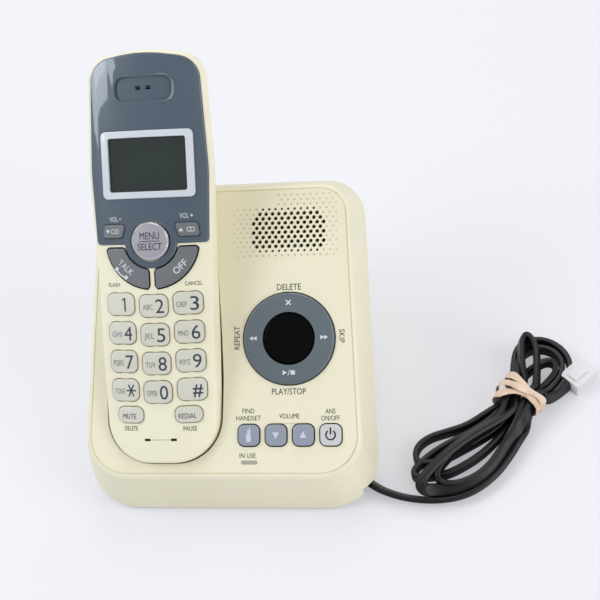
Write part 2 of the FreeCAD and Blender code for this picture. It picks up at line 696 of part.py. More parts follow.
def make_handset_screws():
    """Two screws up through the tray of the back shell."""
    screws = []
    top = -size("tray_depth") - size("tray_thickness")
    thin = size("screw_radius") - size("fit_gap")
    for up in handset_screw_places():
        head = drum(size("screw_head_radius") * 0.8, top - size("screw_head") * 0.6, top, 0, up)
        shank = drum(thin, top, top + size("tray_thickness") * 2, 0, up)
        screws.append(merged([head, shank]))
    feature("handset_screws", Part.makeCompound(screws), handset_seat)


def make_arched_key(label, block_at, proud):
    """A handset key under the arched face: a cap over a wider hidden flange."""
    deep = -size("parting_depth")
    flange_low = key_flange_depth + size("flange_thickness")
    cap = arched_layer(block_at(0, deep, proud + 1), -proud, flange_low)
    cap = round_arch_edges(cap, size("key_edge"), -proud)
    flange = arched_layer(block_at(size("flange_lip"), deep, proud), key_flange_depth, flange_low)
    feature(label, merged([cap, flange]), handset_seat)


def make_flat_key(label, seat, names, flange_expression):
    """A key as a body: a rounded cap over a wider hidden flange."""
    width, height, corner, proud = names
    body = new_body(label, seat)
    flange = new_sketch(body, "flange", flange_expression)
    draw_rounded_rectangle(flange, f"{width} + 2 * Sizes.flange_lip",
                           f"{height} + 2 * Sizes.flange_lip", f"{corner} + Sizes.flange_lip")
    add_pad(body, flange, "Sizes.flange_thickness", "flange_pad")
    doc.recompute()
    cap = new_sketch(body, "cap", proud)
    draw_rounded_rectangle(cap, width, height, corner)
    pad = add_pad(body, cap, f"{proud} - ({flange_expression})", "cap_pad")
    body.Tip = add_edge_round(body, pad, "Sizes.key_edge", size(proud.split(".")[1]))
    return body


def key_tile(width, height, corner, across, up):
    """A function that gives a rounded key block, grown all round, between two levels."""
    return lambda grow, low, high: tile(width + 2 * grow, height + 2 * grow, corner + grow,
                                        low, high, across, up)


def make_handset_keys():
    """All nineteen keys of the handset."""
    proud = size("key_proud")
    for label, column, line in KEYPAD:
        across, up = key_place(column, line)
        make_arched_key(label, key_tile(size("key_width"), size("key_height"),
                                        size("key_corner"), across, up), proud)
    for label, side in LOW_KEYS:
        make_arched_key(label, key_tile(size("low_key_width"), size("low_key_height"),
                                        size("low_key_corner"), side * size("low_key_across"),
                                        size("low_key_up")), proud)
    for label, side in TALK_KEYS:
        make_arched_key(label, lambda grow, low, high: talk_block(side, grow, low, high), proud)
    for label, side in SOFT_KEYS:
        make_arched_key(label, lambda grow, low, high: soft_block(side, grow, low, high),
                        size("menu_proud"))
    make_arched_key("menu_key", lambda grow, low, high: drum(
        size("menu_radius") + grow, low, high, 0, size("menu_up")), size("menu_proud"))


# ---------------------------------------------------------------- base housing

def slab_outline(depth, inset):
    """The top housing's outline at a depth under the panel, drawn in by an inset."""
    share = depth / size("slab_depth")
    half = size("panel_half") + size("side_flare") * share - inset
    front = size("panel_front") + size("front_reach") * share - inset
    back = size("panel_back") + size("back_flare") * share - inset
    lean = math.tan(math.radians(size("panel_lean")))
    growth = size("corner_growth") * share - inset
    front_radius = size("front_corner") + growth
    back_radius = size("back_corner") + growth
    corners = [(-half - lean * front, -front), (half + lean * front, -front),
               (half - lean * back, back), (-half + lean * back, back)]
    return corners, [front_radius, front_radius, back_radius, back_radius]


def slab_wire(depth, inset):
    """The same outline as a wire at its own level."""
    corners, radii = slab_outline(depth, inset)
    return rounded_outline(corners, radii, -depth)


def cradle_prism(grow, extra_depth):
    """The handset's tapering room, and the way straight out of it over its widest line."""
    body = handset_loft(-grow, extra_depth)
    lift = handset_in_panel.Rotation.inverted().multVec(Vector(0, 0, 3 * size("slab_depth")))
    widest = Part.Face(handset_outline(-grow, -grow, -size("grip_widest") - extra_depth))
    return carried(merged([body, widest.extrude(lift)]), handset_in_panel)


def grille_tools(low, high):
    """The speaker's holes: rows of big ones between two rows of small ones."""
    counts = [10, 11, 12, 11, 12, 11, 12, 11, 10, 9]
    tools = []
    for line, count in enumerate(counts):
        hole = size("grille_small_hole") if line in (0, len(counts) - 1) else size("grille_hole")
        up = size("speaker_up") + (line - 4.5) * size("grille_row") + size("grille_row") / 2
        for index in range(count):
            across = size("ring_across") + (index - (count - 1) / 2) * size("grille_pitch")
            tools.append(drum(hole / 2, low, high, across, up))
    return tools


BUTTONS = [("find_handset_button", -1.5), ("volume_down_button", -0.5),
           ("volume_up_button", 0.5), ("answer_on_off_button", 1.5)]


def button_place(step):
    """Where a small square button lies on the panel."""
    return size("ring_across") + step * size("button_pitch"), -size("button_down")


def board_bosses():
    """Where the four bosses that carry the base's circuit board stand."""
    left = size("ring_across") - size("ring_radius") - size("boss_radius")
    right = size("panel_half") - size("base_wall") - size("boss_radius")
    low = -size("ring_radius") - size("boss_radius")
    high = size("ring_radius") + size("boss_radius") / 2
    return [(left + size("boss_radius"), low), (right, low), (left + size("boss_radius"), high),
            (right, high)]


def make_top_housing():
    """The cream top housing: sloped panel, shoulders, walls, cradle tub and openings."""
    depth = size("slab_depth")
    wall = size("base_wall")
    outer = Part.makeLoft([slab_wire(depth, 0), slab_wire(0, 0)], True, True)
    outer = round_edges(outer, size("shoulder_radius"), 0)
    hollow = Part.makeLoft([slab_wire(depth, wall), slab_wire(wall, wall)], True, True)
    shell = outer.cut(hollow)
    inner_level = -wall
    tub = cradle_prism(size("cradle_gap") + size("cradle_wall"),
                       size("cradle_floor_gap") + size("cradle_wall"))
    half = size("crown_up") * 2
    back_limit = size("panel_back") - wall / 2
    tub = tub.common(block(-half, half, -half, back_limit, -half, inner_level / 2))
    floor_plane = block(-half, half, -half, half, size("foot_height") + 2 * wall, half)
    tub = tub.common(carried(floor_plane, panel_from_world))
    skirt = Part.Face(slab_wire(depth, wall / 2)).extrude(Vector(0, 0, -2 * depth))
    tub = tub.common(merged([outer, skirt]))
    bosses = [drum(size("boss_radius"), base_board_top, inner_level / 2, x, y)
              for x, y in board_bosses()]
    shell = merged([shell, tub] + bosses)
    low, high = -2 * wall, 2
    crease = size("crease_inset")
    groove = slab_outline(0, crease)
    inner_groove = slab_outline(0, crease + size("crease_width"))
    band = prism(groove[0], groove[1], -size("crease_depth"), high)
    band = band.cut(prism(inner_groove[0], inner_groove[1], -size("crease_depth"), high))
    tools = [cradle_prism(size("cradle_gap"), size("cradle_floor_gap")), band,
             drum(size("ring_radius") + size("ring_gap"), low, high, size("ring_across"), 0)]
    gap = size("button_gap")
    for _, step in BUTTONS:
        across, up = button_place(step)
        side = size("button_side") + 2 * gap
        tools.append(tile(side, side, size("button_corner") + gap, low, high, across, up))
    fit = size("fit_gap")
    across = button_place(-1.5)[0]
    tools.append(tile(size("light_length") + 2 * fit, size("light_height") + 2 * fit,
                      size("light_height") * 0.45, low, high, across, -size("light_down")))
    tools += grille_tools(low, high)
    for x, y in board_bosses():
        tools.append(drum(size("screw_radius"), base_board_top - 1, inner_level - 0.3, x, y))
    tools.append(carried(cord_channel(0, size("exit_reach")), panel_from_world))
    tools += contact_blocks()
    feature("base_top_housing", without(shell, tools), panel_seat)


# ---------------------------------------------------------------- cradle contacts

def contact_blocks():
    """Two level blocks through the cradle's front wall, opposite the handset's pads."""
    lean = math.radians(size("handset_lean"))
    depth = size("contact_depth")
    level = size("handset_rise") - depth * math.cos(lean)
    end = (drawn_in(depth, size("grip_widest"), size("grip_face_inset")) - size("tail")
           - size("cradle_gap"))
    wall = -size("handset_down") + end * math.cos(lean) + depth * math.sin(lean)
    half = size("contact_width") / 2
    rise = size("contact_height") / 2
    reach = 3 * size("cradle_wall")
    places = [size("handset_across") + side * size("contact_across") for side in (-1, 1)]
    return [block(across - half, across + half, wall - reach, wall + reach / 2,
                  level - rise, level + rise) for across in places]


def make_cradle_contacts():
    """Two bright spring strips that stand just clear of the handset's charging pads."""
    outside = cradle_prism(size("cradle_gap") + 1.5 * size("cradle_wall"), size("cradle_wall"))
    inside = cradle_prism(size("cradle_gap") - size("spring_gap"), 0)
    strips = [strip.common(outside).cut(inside) for strip in contact_blocks()]
    feature("cradle_contacts", Part.makeCompound(strips), panel_seat)


# ---------------------------------------------------------------- bottom cover

def world_point(x, y, level):
    """A point of the panel frame in the world."""
    return panel_seat.multVec(Vector(x, y, level))


def cover_loft(inset, front_inset, floor_level, depth):
    """The wedge between a plane under the panel and a level floor, nested behind the front."""
    corners, radii = slab_outline(depth, inset)
    corners = [(x, y + front_inset if y < 0 else y) for x, y in corners]
    top = rounded_outline(corners, radii, -depth)
    top.Placement = panel_seat
    draft = math.tan(math.radians(size("cover_draft")))
    lower = []
    for x, y in corners:
        point = world_point(x, y, -depth)
        shift = max(point.z - floor_level, 0) * draft
        back_shift = shift if y > 0 else 0
        lower.append((x - math.copysign(shift, x), point.y - back_shift))
    base = rounded_outline(lower, radii, floor_level)
    return Part.makeLoft([base, top], True, True)


front_edge = world_point(0, -front_low, -size("slab_depth")).y
well_across = size("ring_across")
well_near = front_edge + size("well_setback")
exit_corner = Vector(size("exit_across"), front_edge + size("exit_setback"), 0)


def cord_channel(grow, reach):
    """The straight trough from the jack well to the right front corner, as a world block."""
    start = Vector(well_across, well_near + size("channel_width") / 2, 0)
    run = exit_corner - start
    length = run.Length + reach
    half = size("channel_width") / 2 + grow
    top = size("foot_height") + size("channel_rise") + grow
    trough = block(0, length, -half, half, -grow, top)
    return carried(trough, Placement(start, Rotation(Vector(1, 0, 0), run)))


def cover_feet():
    """The places of the four feet under the bottom cover."""
    half = size("panel_half") - size("foot_inset")
    back = world_point(0, size("panel_back"), -size("slab_depth")).y - size("foot_inset")
    near = front_edge + size("foot_inset")
    return [(-half, near), (half - size("foot_inset"), near), (-half, back), (half, back)]


def cover_screws():
    """The places of the four screws, each beside a foot, towards the middle."""
    feet = cover_feet()
    middle = sum(y for _, y in feet) / len(feet)
    return [(x, y + math.copysign(size("foot_screw_gap"), middle - y)) for x, y in feet]


def make_bottom_cover():
    """The wedge-shaped bottom cover with its jack well and cord trough."""
    wall = size("base_wall")
    foot = size("foot_height")
    inset = size("cover_step")
    depth = size("slab_depth")
    outer = cover_loft(inset, wall, foot, depth)
    hollow = cover_loft(inset + wall, wall, foot + wall, depth - 1)
    shell = outer.cut(hollow)
    grow = size("trough_wall")
    rise = size("well_rise")
    half = size("well_width") / 2
    far = well_near + size("well_length")
    well_walls = block(well_across - half - grow, well_across + half + grow, well_near - grow,
                       far + grow, foot, foot + rise + grow)
    well = block(well_across - half, well_across + half, well_near, far, -1, foot + rise)
    wide = 4 * size("panel_half")
    above_floor = block(-wide, wide, -wide, wide, foot, wide)
    added = merged([well_walls, cord_channel(grow, 0).common(above_floor)]).common(outer)
    shell = merged([shell, added])
    jack_half = size("jack_width") / 2
    mouth = block(well_across - jack_half, well_across + jack_half, far - 1, far + grow + 1,
                  foot + wall, foot + wall + size("jack_height"))
    power = block(well_across - half - grow - 1, well_across - half + 1,
                  far - size("power_jack_width") - grow, far - grow, foot + wall,
                  foot + wall + size("power_jack_width"))
    tools = [well, cord_channel(0, size("exit_reach")), mouth, power]
    for x, y in cover_screws():
        tools.append(drum(size("screw_radius"), foot - 1, foot + wall + 1, x, y))
    feature("base_bottom_cover", without(shell, tools), world)


def make_feet_and_screws():
    """Four rubber feet under the cover, and four screws beside them."""
    foot = size("foot_height")
    feet = []
    screws = []
    for x, y in cover_feet():
        feet.append(drum(size("foot_radius"), 0, foot, x, y))
    thin = size("screw_radius") - size("fit_gap")
    for x, y in cover_screws():
        head = drum(size("screw_head_radius"), foot - size("screw_head") / 2, foot, x, y)
        shank = drum(thin, foot, foot + size("base_wall"), x, y)
        screws.append(merged([head, shank]))
    feature("base_feet", Part.makeCompound(feet), world)
    feature("base_screws", Part.makeCompound(screws), world)


def make_jacks():
    """The modular line jack and the power jack, let into the walls of the well."""
    foot = size("foot_height") + size("base_wall")
    grow = size("trough_wall")
    far = well_near + size("well_length")
    half = size("jack_width") / 2
    jack = block(well_across - half, well_across + half, far, far + size("jack_length"),
                 foot, foot + size("jack_height"))
    socket_half = size("plug_width") / 2 + size("fit_gap")
    middle = foot + size("jack_height") / 2
    tall = size("plug_height") / 2 + size("fit_gap")
    socket = block(well_across - socket_half, well_across + socket_half, far,
                   far + size("plug_seat") + size("fit_gap"), middle - tall, middle + tall)
    feature("line_jack", jack.cut(socket), world)
    left = well_across - size("well_width") / 2
    width = size("power_jack_width")
    body = block(left - grow - width, left, far - width - grow, far - grow, foot, foot + width)
    middle = far - grow - width / 2
    rise = foot + width / 2
    bore = Part.makeCylinder(size("power_jack_bore"), width, Vector(left + 1, middle, rise),
                             Vector(-1, 0, 0))
    pin = Part.makeCylinder(size("power_jack_bore") / 3, width, Vector(left - 1, middle, rise),
                            Vector(-1, 0, 0))
    feature("power_jack", merged([body.cut(bore), pin]), world)


# ---------------------------------------------------------------- base inside

def board_sides():
    """The four edges of the base's circuit board in the panel frame."""
    left = (size("handset_across") + size("head_half") + size("cradle_gap")
            + size("cradle_wall") + size("board_edge_gap"))
    right = size("panel_half") - size("base_wall") - size("board_edge_gap")
    low = -size("panel_front") + size("base_wall") + size("board_edge_gap")
    high = size("speaker_up") - size("speaker_radius") - size("board_edge_gap")
    return left, right, low, high


def make_base_board():
    """The base's circuit board with its chips, and the rubber mat for rocker and buttons."""
    left, right, low, high = board_sides()
    top = base_board_top
    thick = size("board_thickness")
    board = tile(right - left, high - low, size("front_corner") / 3, top - thick, top,
                 (left + right) / 2, (low + high) / 2)
    under = top - thick
    middle = (left + right) / 2
    chip_low = under - size("chip_height")
    side = size("chip_side")
    chips = [tile(width * side, length * side, size("chip_corner"), chip_low, under,
                  middle + across * side, up * side)
             for width, length, across, up in ((1, 1, -0.43, -0.3), (0.6, 0.36, 0.86, 0.43),
                                               (0.43, 0.7, 0.86, -1))]
    pin = size("pivot_pin_radius")
    reach = (size("pivot_outer") + size("pivot_inner")) / 2
    posts = [block(size("ring_across") + side * reach - pin, size("ring_across") + side * reach + pin,
                   -pin, pin, under, pivot_low - size("pivot_gap")) for side in (-1, 1)]
    holes = [drum(size("screw_radius"), under - 1, top + 1, x, y) for x, y in board_bosses()]
    feature("base_circuit_board", without(merged([board] + chips + posts), holes), panel_seat)
    mat = size("base_mat_thickness")
    button_low = -size("button_down") - size("button_side") / 2 - size("flange_lip")
    button_high = -size("button_down") + size("button_side") / 2 + size("flange_lip")
    strip = tile(4 * size("button_pitch"), button_high - button_low, size("button_corner"), top,
                 top + mat, size("ring_across"), (button_low + button_high) / 2)
    ring = drum(size("ring_radius") - size("ring_flange"), top, top + mat, size("ring_across"), 0)
    ring = ring.cut(drum(size("pivot_outer") + size("ring_gap"), top, top + mat,
                         size("ring_across"), 0))
    half = size("boss_radius")
    neck = block(size("ring_across") - half, size("ring_across") + half, button_high - mat,
                 -size("pivot_outer") - 2 * mat, top, top + mat)
    feature("base_rubber_keymat", merged([strip, ring, neck]), panel_seat)
    screws = []
    for x, y in board_bosses():
        head = drum(size("screw_head_radius"), under - size("screw_head"), under, x, y)
        shank = drum(size("screw_radius") - size("fit_gap"), under, top + size("base_wall"), x, y)
        screws.append(merged([head, shank]))
    feature("board_screws", Part.makeCompound(screws), panel_seat)
    beside = left + size("antenna_inset")
    strip = block(beside, beside + size("antenna_width"), high - size("antenna_length"), high,
                  under - size("antenna_width") * 2, under)
    width = size("antenna_width")
    slot = block(beside - width, beside + 2 * width, high - size("antenna_length") + width,
                 high - width, under - width * 1.4, under - width * 0.4)
    feature("base_antenna", strip.cut(slot), panel_seat)


def make_speaker():
    """The loudspeaker: flange, cone basket and magnet, turned as one profile."""
    body = new_body("base_speaker", moved(panel_seat, size("ring_across"), size("speaker_up"),
                                          -size("base_wall")))
    flange = new_sketch(body, "flange")
    draw_circle(flange, "Sizes.speaker_radius")
    add_pad(body, flange, "Sizes.base_wall", "flange_pad")
    doc.recompute()
    basket = new_sketch(body, "basket", "-Sizes.base_wall")
    draw_circle(basket, "Sizes.speaker_radius - Sizes.base_wall")
    pad = add_pad(body, basket, "Sizes.speaker_depth - Sizes.magnet_depth", "basket_pad")
    doc.recompute()
    magnet = new_sketch(body, "magnet", "-Sizes.base_wall")
    draw_circle(magnet, "Sizes.magnet_radius")
    add_pad(body, magnet, "Sizes.speaker_depth", "magnet_pad")
    return pad


def make_rocker():
    """The four-way ring, the frame it rocks on, the window in it and the counter below."""
    seat = moved(panel_seat, size("ring_across"), 0)
    top = size("ring_proud")
    low = ring_flange_low
    cap = drum(size("ring_radius"), low, top)
    cap = round_edges(cap, size("ring_proud") * 0.8, top)
    flange = drum(size("ring_radius") + size("flange_lip") + size("ring_gap"), low,
                  ring_flange_top)
    room = drum(size("pivot_outer") + size("ring_gap"), low - 1, ring_flange_top)
    ring = merged([cap, flange]).cut(drum(size("ring_bore"), low - 1, top + 1)).cut(room)
    pin = size("pivot_pin_radius")
    reach = (size("pivot_outer") + size("pivot_inner")) / 2
    pin_low = pivot_low + size("pivot_thickness") + size("pivot_gap")
    stems = [block(-pin, pin, side * reach - pin, side * reach + pin, pin_low,
                   ring_flange_top + 1) for side in (-1, 1)]
    feature("rocker_ring", merged([ring] + stems), seat)
    frame = drum(size("pivot_outer"), pivot_low, pivot_low + size("pivot_thickness"))
    frame = frame.cut(drum(size("pivot_inner"), pivot_low - 1, pivot_low + 2))
    feature("rocker_pivot_frame", frame, seat)
    lens = disc("counter_window", seat, "Sizes.window_radius", "Sizes.window_proud",
                "Sizes.window_proud + Sizes.window_depth")
    lens.Tip = add_edge_round(lens, lens.Tip, "Sizes.window_proud * 0.8", size("window_proud"))
    depth = -size("window_depth") - base_board_top
    plate("counter_module", moved(seat, 0, 0, -size("window_depth")), "Sizes.module_width",
          "Sizes.module_height", "Sizes.fit_gap * 5", "0", f"{depth}")


def make_base_buttons():
    """Four square buttons and the light pipe under the first of them."""
    names = ("Sizes.button_side", "Sizes.button_side", "Sizes.button_corner",
             "Sizes.button_proud")
    for label, step in BUTTONS:
        across, up = button_place(step)
        make_flat_key(label, moved(panel_seat, across, up), names, base_flange_top)
    across = button_place(-1.5)[0]
    plate("in_use_light_pipe", moved(panel_seat, across, -size("light_down")),
          "Sizes.light_length", "Sizes.light_height", "Sizes.light_height * 0.45", "0",
          f"{-base_board_top}")


# ---------------------------------------------------------------- line cord

jack_face = well_near + size("well_length")
jack_middle = size("foot_height") + size("base_wall") + size("jack_height") / 2
plug_back = jack_face - (size("plug_length") - size("plug_seat"))
CORD_ROUTE = [(well_across, plug_back, jack_middle), (well_across, plug_back - 8, jack_middle),
              (29.1, -25.6, 4.3), (38.5, -37.4, 3.3), (54.6, -56.2, 2.8), (67.2, -62.2, 2.5),
              (81.5, -64, 2.4), (94.5, -61.6, 2.4), (104.6, -54, 2.4), (111.3, -44.6, 3),
              (114.4, -33, 5)]
TAIL_ROUTE = [(118.4, -25.2, 3.4), (124.6, -21.9, 3.1), (130.6, -16.4, 3.3), (136.4, -10.6, 3.3)]
# Stations along the folded hank: place on the floor, half width, bottom and top.
HANK_STATIONS = [(73.2, -53.2, 2.6, 0.2, 8), (78.3, -50.4, 9.4, 0.1, 12),
                 (91.1, -47, 15.2, 0.1, 13), (102.3, -39, 13, 0.4, 13.4),
                 (111.3, -27.3, 8.6, 1.2, 14.6), (116.3, -19.2, 7.4, 1.2, 15),
                 (120.7, -11.7, 8.6, 1.2, 14.6), (125, -1.4, 12.4, 0.4, 13),
                 (128.8, 7.7, 8.6, 0.1, 11), (129.6, 12, 3, 0.2, 8)]


def rounded_path(label, points):
    """Straight runs joined by tangent arcs, each as large as its two runs allow."""
    points = [Vector(*point) for point in points]
    edges = []
    last = points[0]
    for before, here, after in zip(points, points[1:], points[2:]):
        turn = (here - before).getAngle(after - here)
        shorter = min((here - before).Length, (after - here).Length)
        radius = 0.45 * shorter / math.tan(turn / 2)
        inward = (before - here).normalize()
        onward = (after - here).normalize()
        start = here + inward * 0.45 * shorter
        end = here + onward * 0.45 * shorter
        depth = radius / math.cos(turn / 2) - radius
        middle = here + (inward + onward).normalize() * depth
        edges.append(Part.LineSegment(last, start).toShape())
        edges.append(Part.Arc(start, middle, end).toShape())
        last = end
        print(f"{label}: turn {math.degrees(turn):.0f} degrees, radius {radius:.0f} mm")
    edges.append(Part.LineSegment(last, points[-1]).toShape())
    return Part.Wire(edges)


def cord_tube(label, points):
    """A round tube along a route."""
    path = rounded_path(label, points)
    start = Vector(*points[0])
    direction = Vector(*points[1]) - start
    radius = size("cord_diameter") / 2
    section = Part.Wire(Part.makeCircle(radius, start, direction))
    tube = path.makePipeShell([section], True, True)
    print(f"{label}: length {path.Length:.0f} mm, "
          f"volume ratio {tube.Volume / (path.Length * math.pi * radius ** 2):.3f}")
    return tube


def hank_section(index, grow):
    """One upright oval across the hank."""
    x, y, half, low, high = HANK_STATIONS[index]
    before = HANK_STATIONS[max(index - 1, 0)]
    after = HANK_STATIONS[min(index + 1, len(HANK_STATIONS) - 1)]
    along = Vector(after[0] - before[0], after[1] - before[1], 0).normalize()
    across = Vector(-along.y, along.x, 0)
    middle = Vector(x, y, (low + high) / 2)
    wide = half + grow
    tall = (high - low) / 2 + grow
    if wide >= tall:
        oval = Part.Ellipse(middle + across * wide, middle + Vector(0, 0, tall), middle)
    else:
        oval = Part.Ellipse(middle + Vector(0, 0, tall), middle - across * wide, middle)
    return Part.Wire(oval.toShape())


def modular_plug():
    """A clear modular plug from its cord end along +X, with its spring tab on top."""
    length = size("plug_length")
    half = size("plug_width") / 2
    tall = size("plug_height") / 2
    shell = block(0, length, -half, half, -tall, tall)
    tab = block(length * 0.15, length * 0.7, -half / 2, half / 2, tall, tall + size("tab_thickness"))
    return merged([shell, tab])


def make_line_cord():
    """The plugged-in end, the run to the hank, the hank with its tie, and the free end."""
    inward = Placement(Vector(*CORD_ROUTE[0]), Rotation(Vector(0, 0, 1), 90))
    body = modular_plug()
    feature("line_plug", body.common(block(0, size("plug_length"), -10, 10, -10,
                                           size("plug_height") / 2)), inward)
    onward = Vector(*TAIL_ROUTE[-1]) - Vector(*TAIL_ROUTE[-2])
    outward = Placement(Vector(*TAIL_ROUTE[-1]), Rotation(Vector(1, 0, 0), onward))
    sections = [hank_section(index, 0) for index in range(len(HANK_STATIONS))]
    hank = Part.makeLoft(sections, True, True)
    half = size("plug_width") / 2 + size("spring_gap")
    tall = size("plug_height") / 2 + size("tab_thickness") + size("spring_gap")
    beside_plug = block(-size("spring_gap"), 2 * size("plug_length"), -half, half, -tall, tall)
    hank = hank.cut(carried(beside_plug, outward))
    feature("cord_hank", hank, world)
    tie_sections = [hank_section(index, size("tie_thickness")) for index in (4, 5, 6)]
    band = Part.makeLoft(tie_sections, True, True)
    above = block(-500, 500, -500, 500, 0, 500)
    feature("cord_tie", band.common(above).cut(hank), world)
    lead = cord_tube("line_cord", CORD_ROUTE).cut(hank)
    feature("line_cord", max(lead.Solids, key=lambda piece: piece.Volume), world)
    tail = cord_tube("line_cord_tail", TAIL_ROUTE).cut(hank).cut(band)
    feature("line_cord_tail", max(tail.Solids, key=lambda piece: piece.Volume), world)
    feature("free_line_plug", modular_plug(), outward)


# ---------------------------------------------------------------- build

def make_handset():
    """Every piece of the handset."""
    make_front_shell()
    make_bezel()
    make_display()
    make_handset_board()
    outer = make_back_shell()
    make_battery()
    make_handset_contacts(outer)
    make_handset_screws()
    make_handset_keys()


def make_base():
    """Every piece of the base."""
    make_top_housing()
    make_cradle_contacts()
    make_bottom_cover()
    make_feet_and_screws()
    make_jacks()
    make_base_board()
    make_speaker()
    make_rocker()
    make_base_buttons()


make_handset()
make_base()
make_line_cord()
doc.recompute()

for item in doc.Objects:
    assert not {"Invalid", "Error"} & set(item.State), f"{item.Label} failed: {item.State}"
os.makedirs("parts", exist_ok=True)
for node in nodes:
    shape = node.Shape
    assert not shape.isNull() and shape.isValid(), f"{node.Label} has no valid shape"
    shape.exportStep(f"parts/{node.Label}.step")
    box = shape.BoundBox
    print(f"{node.Label}: {len(shape.Solids)} solid(s), {shape.Volume:.0f} mm3, "
          f"x {box.XMin:.1f} {box.XMax:.1f} y {box.YMin:.1f} {box.YMax:.1f} "
          f"z {box.ZMin:.1f} {box.ZMax:.1f}")
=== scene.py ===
# %% [markdown]
# # A cordless answering base with its handset
#
# The sloped base, the handset in its cradle and the folded line cord are dressed here.
# The solids come in as a fixed frame in metres: +Z up, -Y to the front. Everything new
# is put straight into that frame, so nothing has to be fitted afterwards.

import json
import math

import bmesh
import bpy
from mathutils import Matrix, Vector


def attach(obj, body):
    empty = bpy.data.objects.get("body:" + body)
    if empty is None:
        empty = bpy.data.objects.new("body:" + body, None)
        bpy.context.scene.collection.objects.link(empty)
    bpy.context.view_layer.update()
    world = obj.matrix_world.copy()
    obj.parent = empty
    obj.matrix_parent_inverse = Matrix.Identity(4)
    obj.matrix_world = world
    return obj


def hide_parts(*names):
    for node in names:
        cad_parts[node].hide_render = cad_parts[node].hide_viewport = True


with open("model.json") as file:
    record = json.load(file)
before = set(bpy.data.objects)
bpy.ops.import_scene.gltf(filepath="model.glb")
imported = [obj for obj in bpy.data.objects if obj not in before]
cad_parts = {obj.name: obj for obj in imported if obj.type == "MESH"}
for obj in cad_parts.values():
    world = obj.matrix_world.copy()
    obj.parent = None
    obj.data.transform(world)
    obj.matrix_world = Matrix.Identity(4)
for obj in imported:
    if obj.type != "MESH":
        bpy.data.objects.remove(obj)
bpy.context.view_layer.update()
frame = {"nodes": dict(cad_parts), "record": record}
MM = 0.001

# %% [markdown]
# ## Camera
#
# The object is looked down on from the front and a little from the right. A camera needs
# a place and three directions: to its right, up and backwards. They are written as the
# columns of one matrix, which is exact, where three turning angles would need trial.

# %% Place the camera
CAMERA_PLACE = (108.95, -290.59, 429.40)
CAMERA_RIGHT = (0.98621, 0.08075, -0.14448)
CAMERA_UP = (0.02380, 0.79467, 0.60658)
LENS = 72
SENSOR = 36


def make_camera():
    """A fairly long lens that looks steeply down at the panel."""
    right, up = Vector(CAMERA_RIGHT), Vector(CAMERA_UP)
    back = right.cross(up)
    turn = Matrix((right, up, back)).transposed().to_4x4()
    camera = bpy.data.objects.new("camera", bpy.data.cameras.new("camera"))
    camera.data.lens = LENS
    camera.data.sensor_width = SENSOR
    camera.matrix_world = Matrix.Translation(Vector(CAMERA_PLACE) * MM) @ turn
    bpy.context.scene.collection.objects.link(camera)
    bpy.context.scene.camera = camera
    return camera


camera = make_camera()
bpy.context.scene.view_settings.view_transform = "Standard"
print("camera at", [round(value, 3) for value in camera.location])

# %% [markdown]
# ## Frames of the panel and the handset
#
# The panel slopes by 32 degrees, and the handset leans 11 degrees more. Labels could be
# placed in world coordinates, but each would then need its own sums. Instead each face
# gets a matrix whose first two axes lie in it and whose third points out of it, so that a
# label is placed by how far across and how far up it is. The handset's face is also
# arched crosswise, on a radius of 70 mm.

# %% Make the two frames
PANEL_SLOPE = 32
PANEL_PLACE = (0, -19.5, 52.558)
HANDSET_LEAN = 11
HANDSET_PLACE = (-23.1, -46.5, 4.5)
HANDSET_ARCH = 70
RING_ACROSS = 27.2


def seat(place, degrees):
    """A frame turned about the X axis and put at a place in millimetres."""
    return Matrix.Translation(Vector(place) * MM) @ Matrix.Rotation(math.radians(degrees), 4, "X")


PANEL = seat(PANEL_PLACE, PANEL_SLOPE)
HANDSET = PANEL @ seat(HANDSET_PLACE, HANDSET_LEAN)
print("panel origin", [round(value, 4) for value in PANEL.translation])
print("handset origin", [round(value, 4) for value in HANDSET.translation])

# %% [markdown]
# ## Small helpers
#
# A colour is written as it looks on a screen and turned into the linear values that a
# shader needs. A finished piece is a mesh whose object sits at the origin. A skin over
# rings of points could be bridged from loop to loop, but bridging chooses by itself which
# points belong together. Extruding the first ring to the next keeps each with its own.

# %% Colours and mesh objects
def screen(red, green, blue):
    """Linear shader colour from 0 to 255 screen values."""
    values = [value / 255 for value in (red, green, blue)]
    linear = [value / 12.92 if value < 0.04045 else ((value + 0.055) / 1.055) ** 2.4
              for value in values]
    return (*linear, 1.0)


TOUCHING = 0.0000001


def link(name, data):
    """An object at the origin in the scene."""
    made = bpy.data.objects.new(name, data)
    bpy.context.scene.collection.objects.link(made)
    return made


def mesh_piece(name, work, smooth=True):
    """A finished bmesh as an object."""
    bmesh.ops.recalc_face_normals(work, faces=work.faces)
    data = bpy.data.meshes.new(name)
    work.to_mesh(data)
    work.free()
    for face in data.polygons:
        face.use_smooth = smooth
    return link(name, data)


def skin_rings(work, rings):
    """A skin over closed rings of points: the first is extruded to the next, and so on round."""
    first = [work.verts.new(place) for place in rings[0]]
    edges = [work.edges.new((first[index - 1], first[index])) for index in range(len(first))]
    made = list(first)
    for before, after in zip(rings, [*rings[1:], rings[0]]):
        drawn = bmesh.ops.extrude_edge_only(work, edges=edges)["geom"]
        edges = [item for item in drawn if isinstance(item, bmesh.types.BMEdge)]
        corners = [item for item in drawn if isinstance(item, bmesh.types.BMVert)]
        step = {Vector(old).to_tuple(6): new for old, new in zip(before, after)}
        for corner in corners:
            corner.co = step[corner.co.to_tuple(6)]
        made += corners
    bmesh.ops.remove_doubles(work, verts=made, dist=TOUCHING)


print("middle grey in linear values:", [round(value, 3) for value in screen(128, 128, 128)])

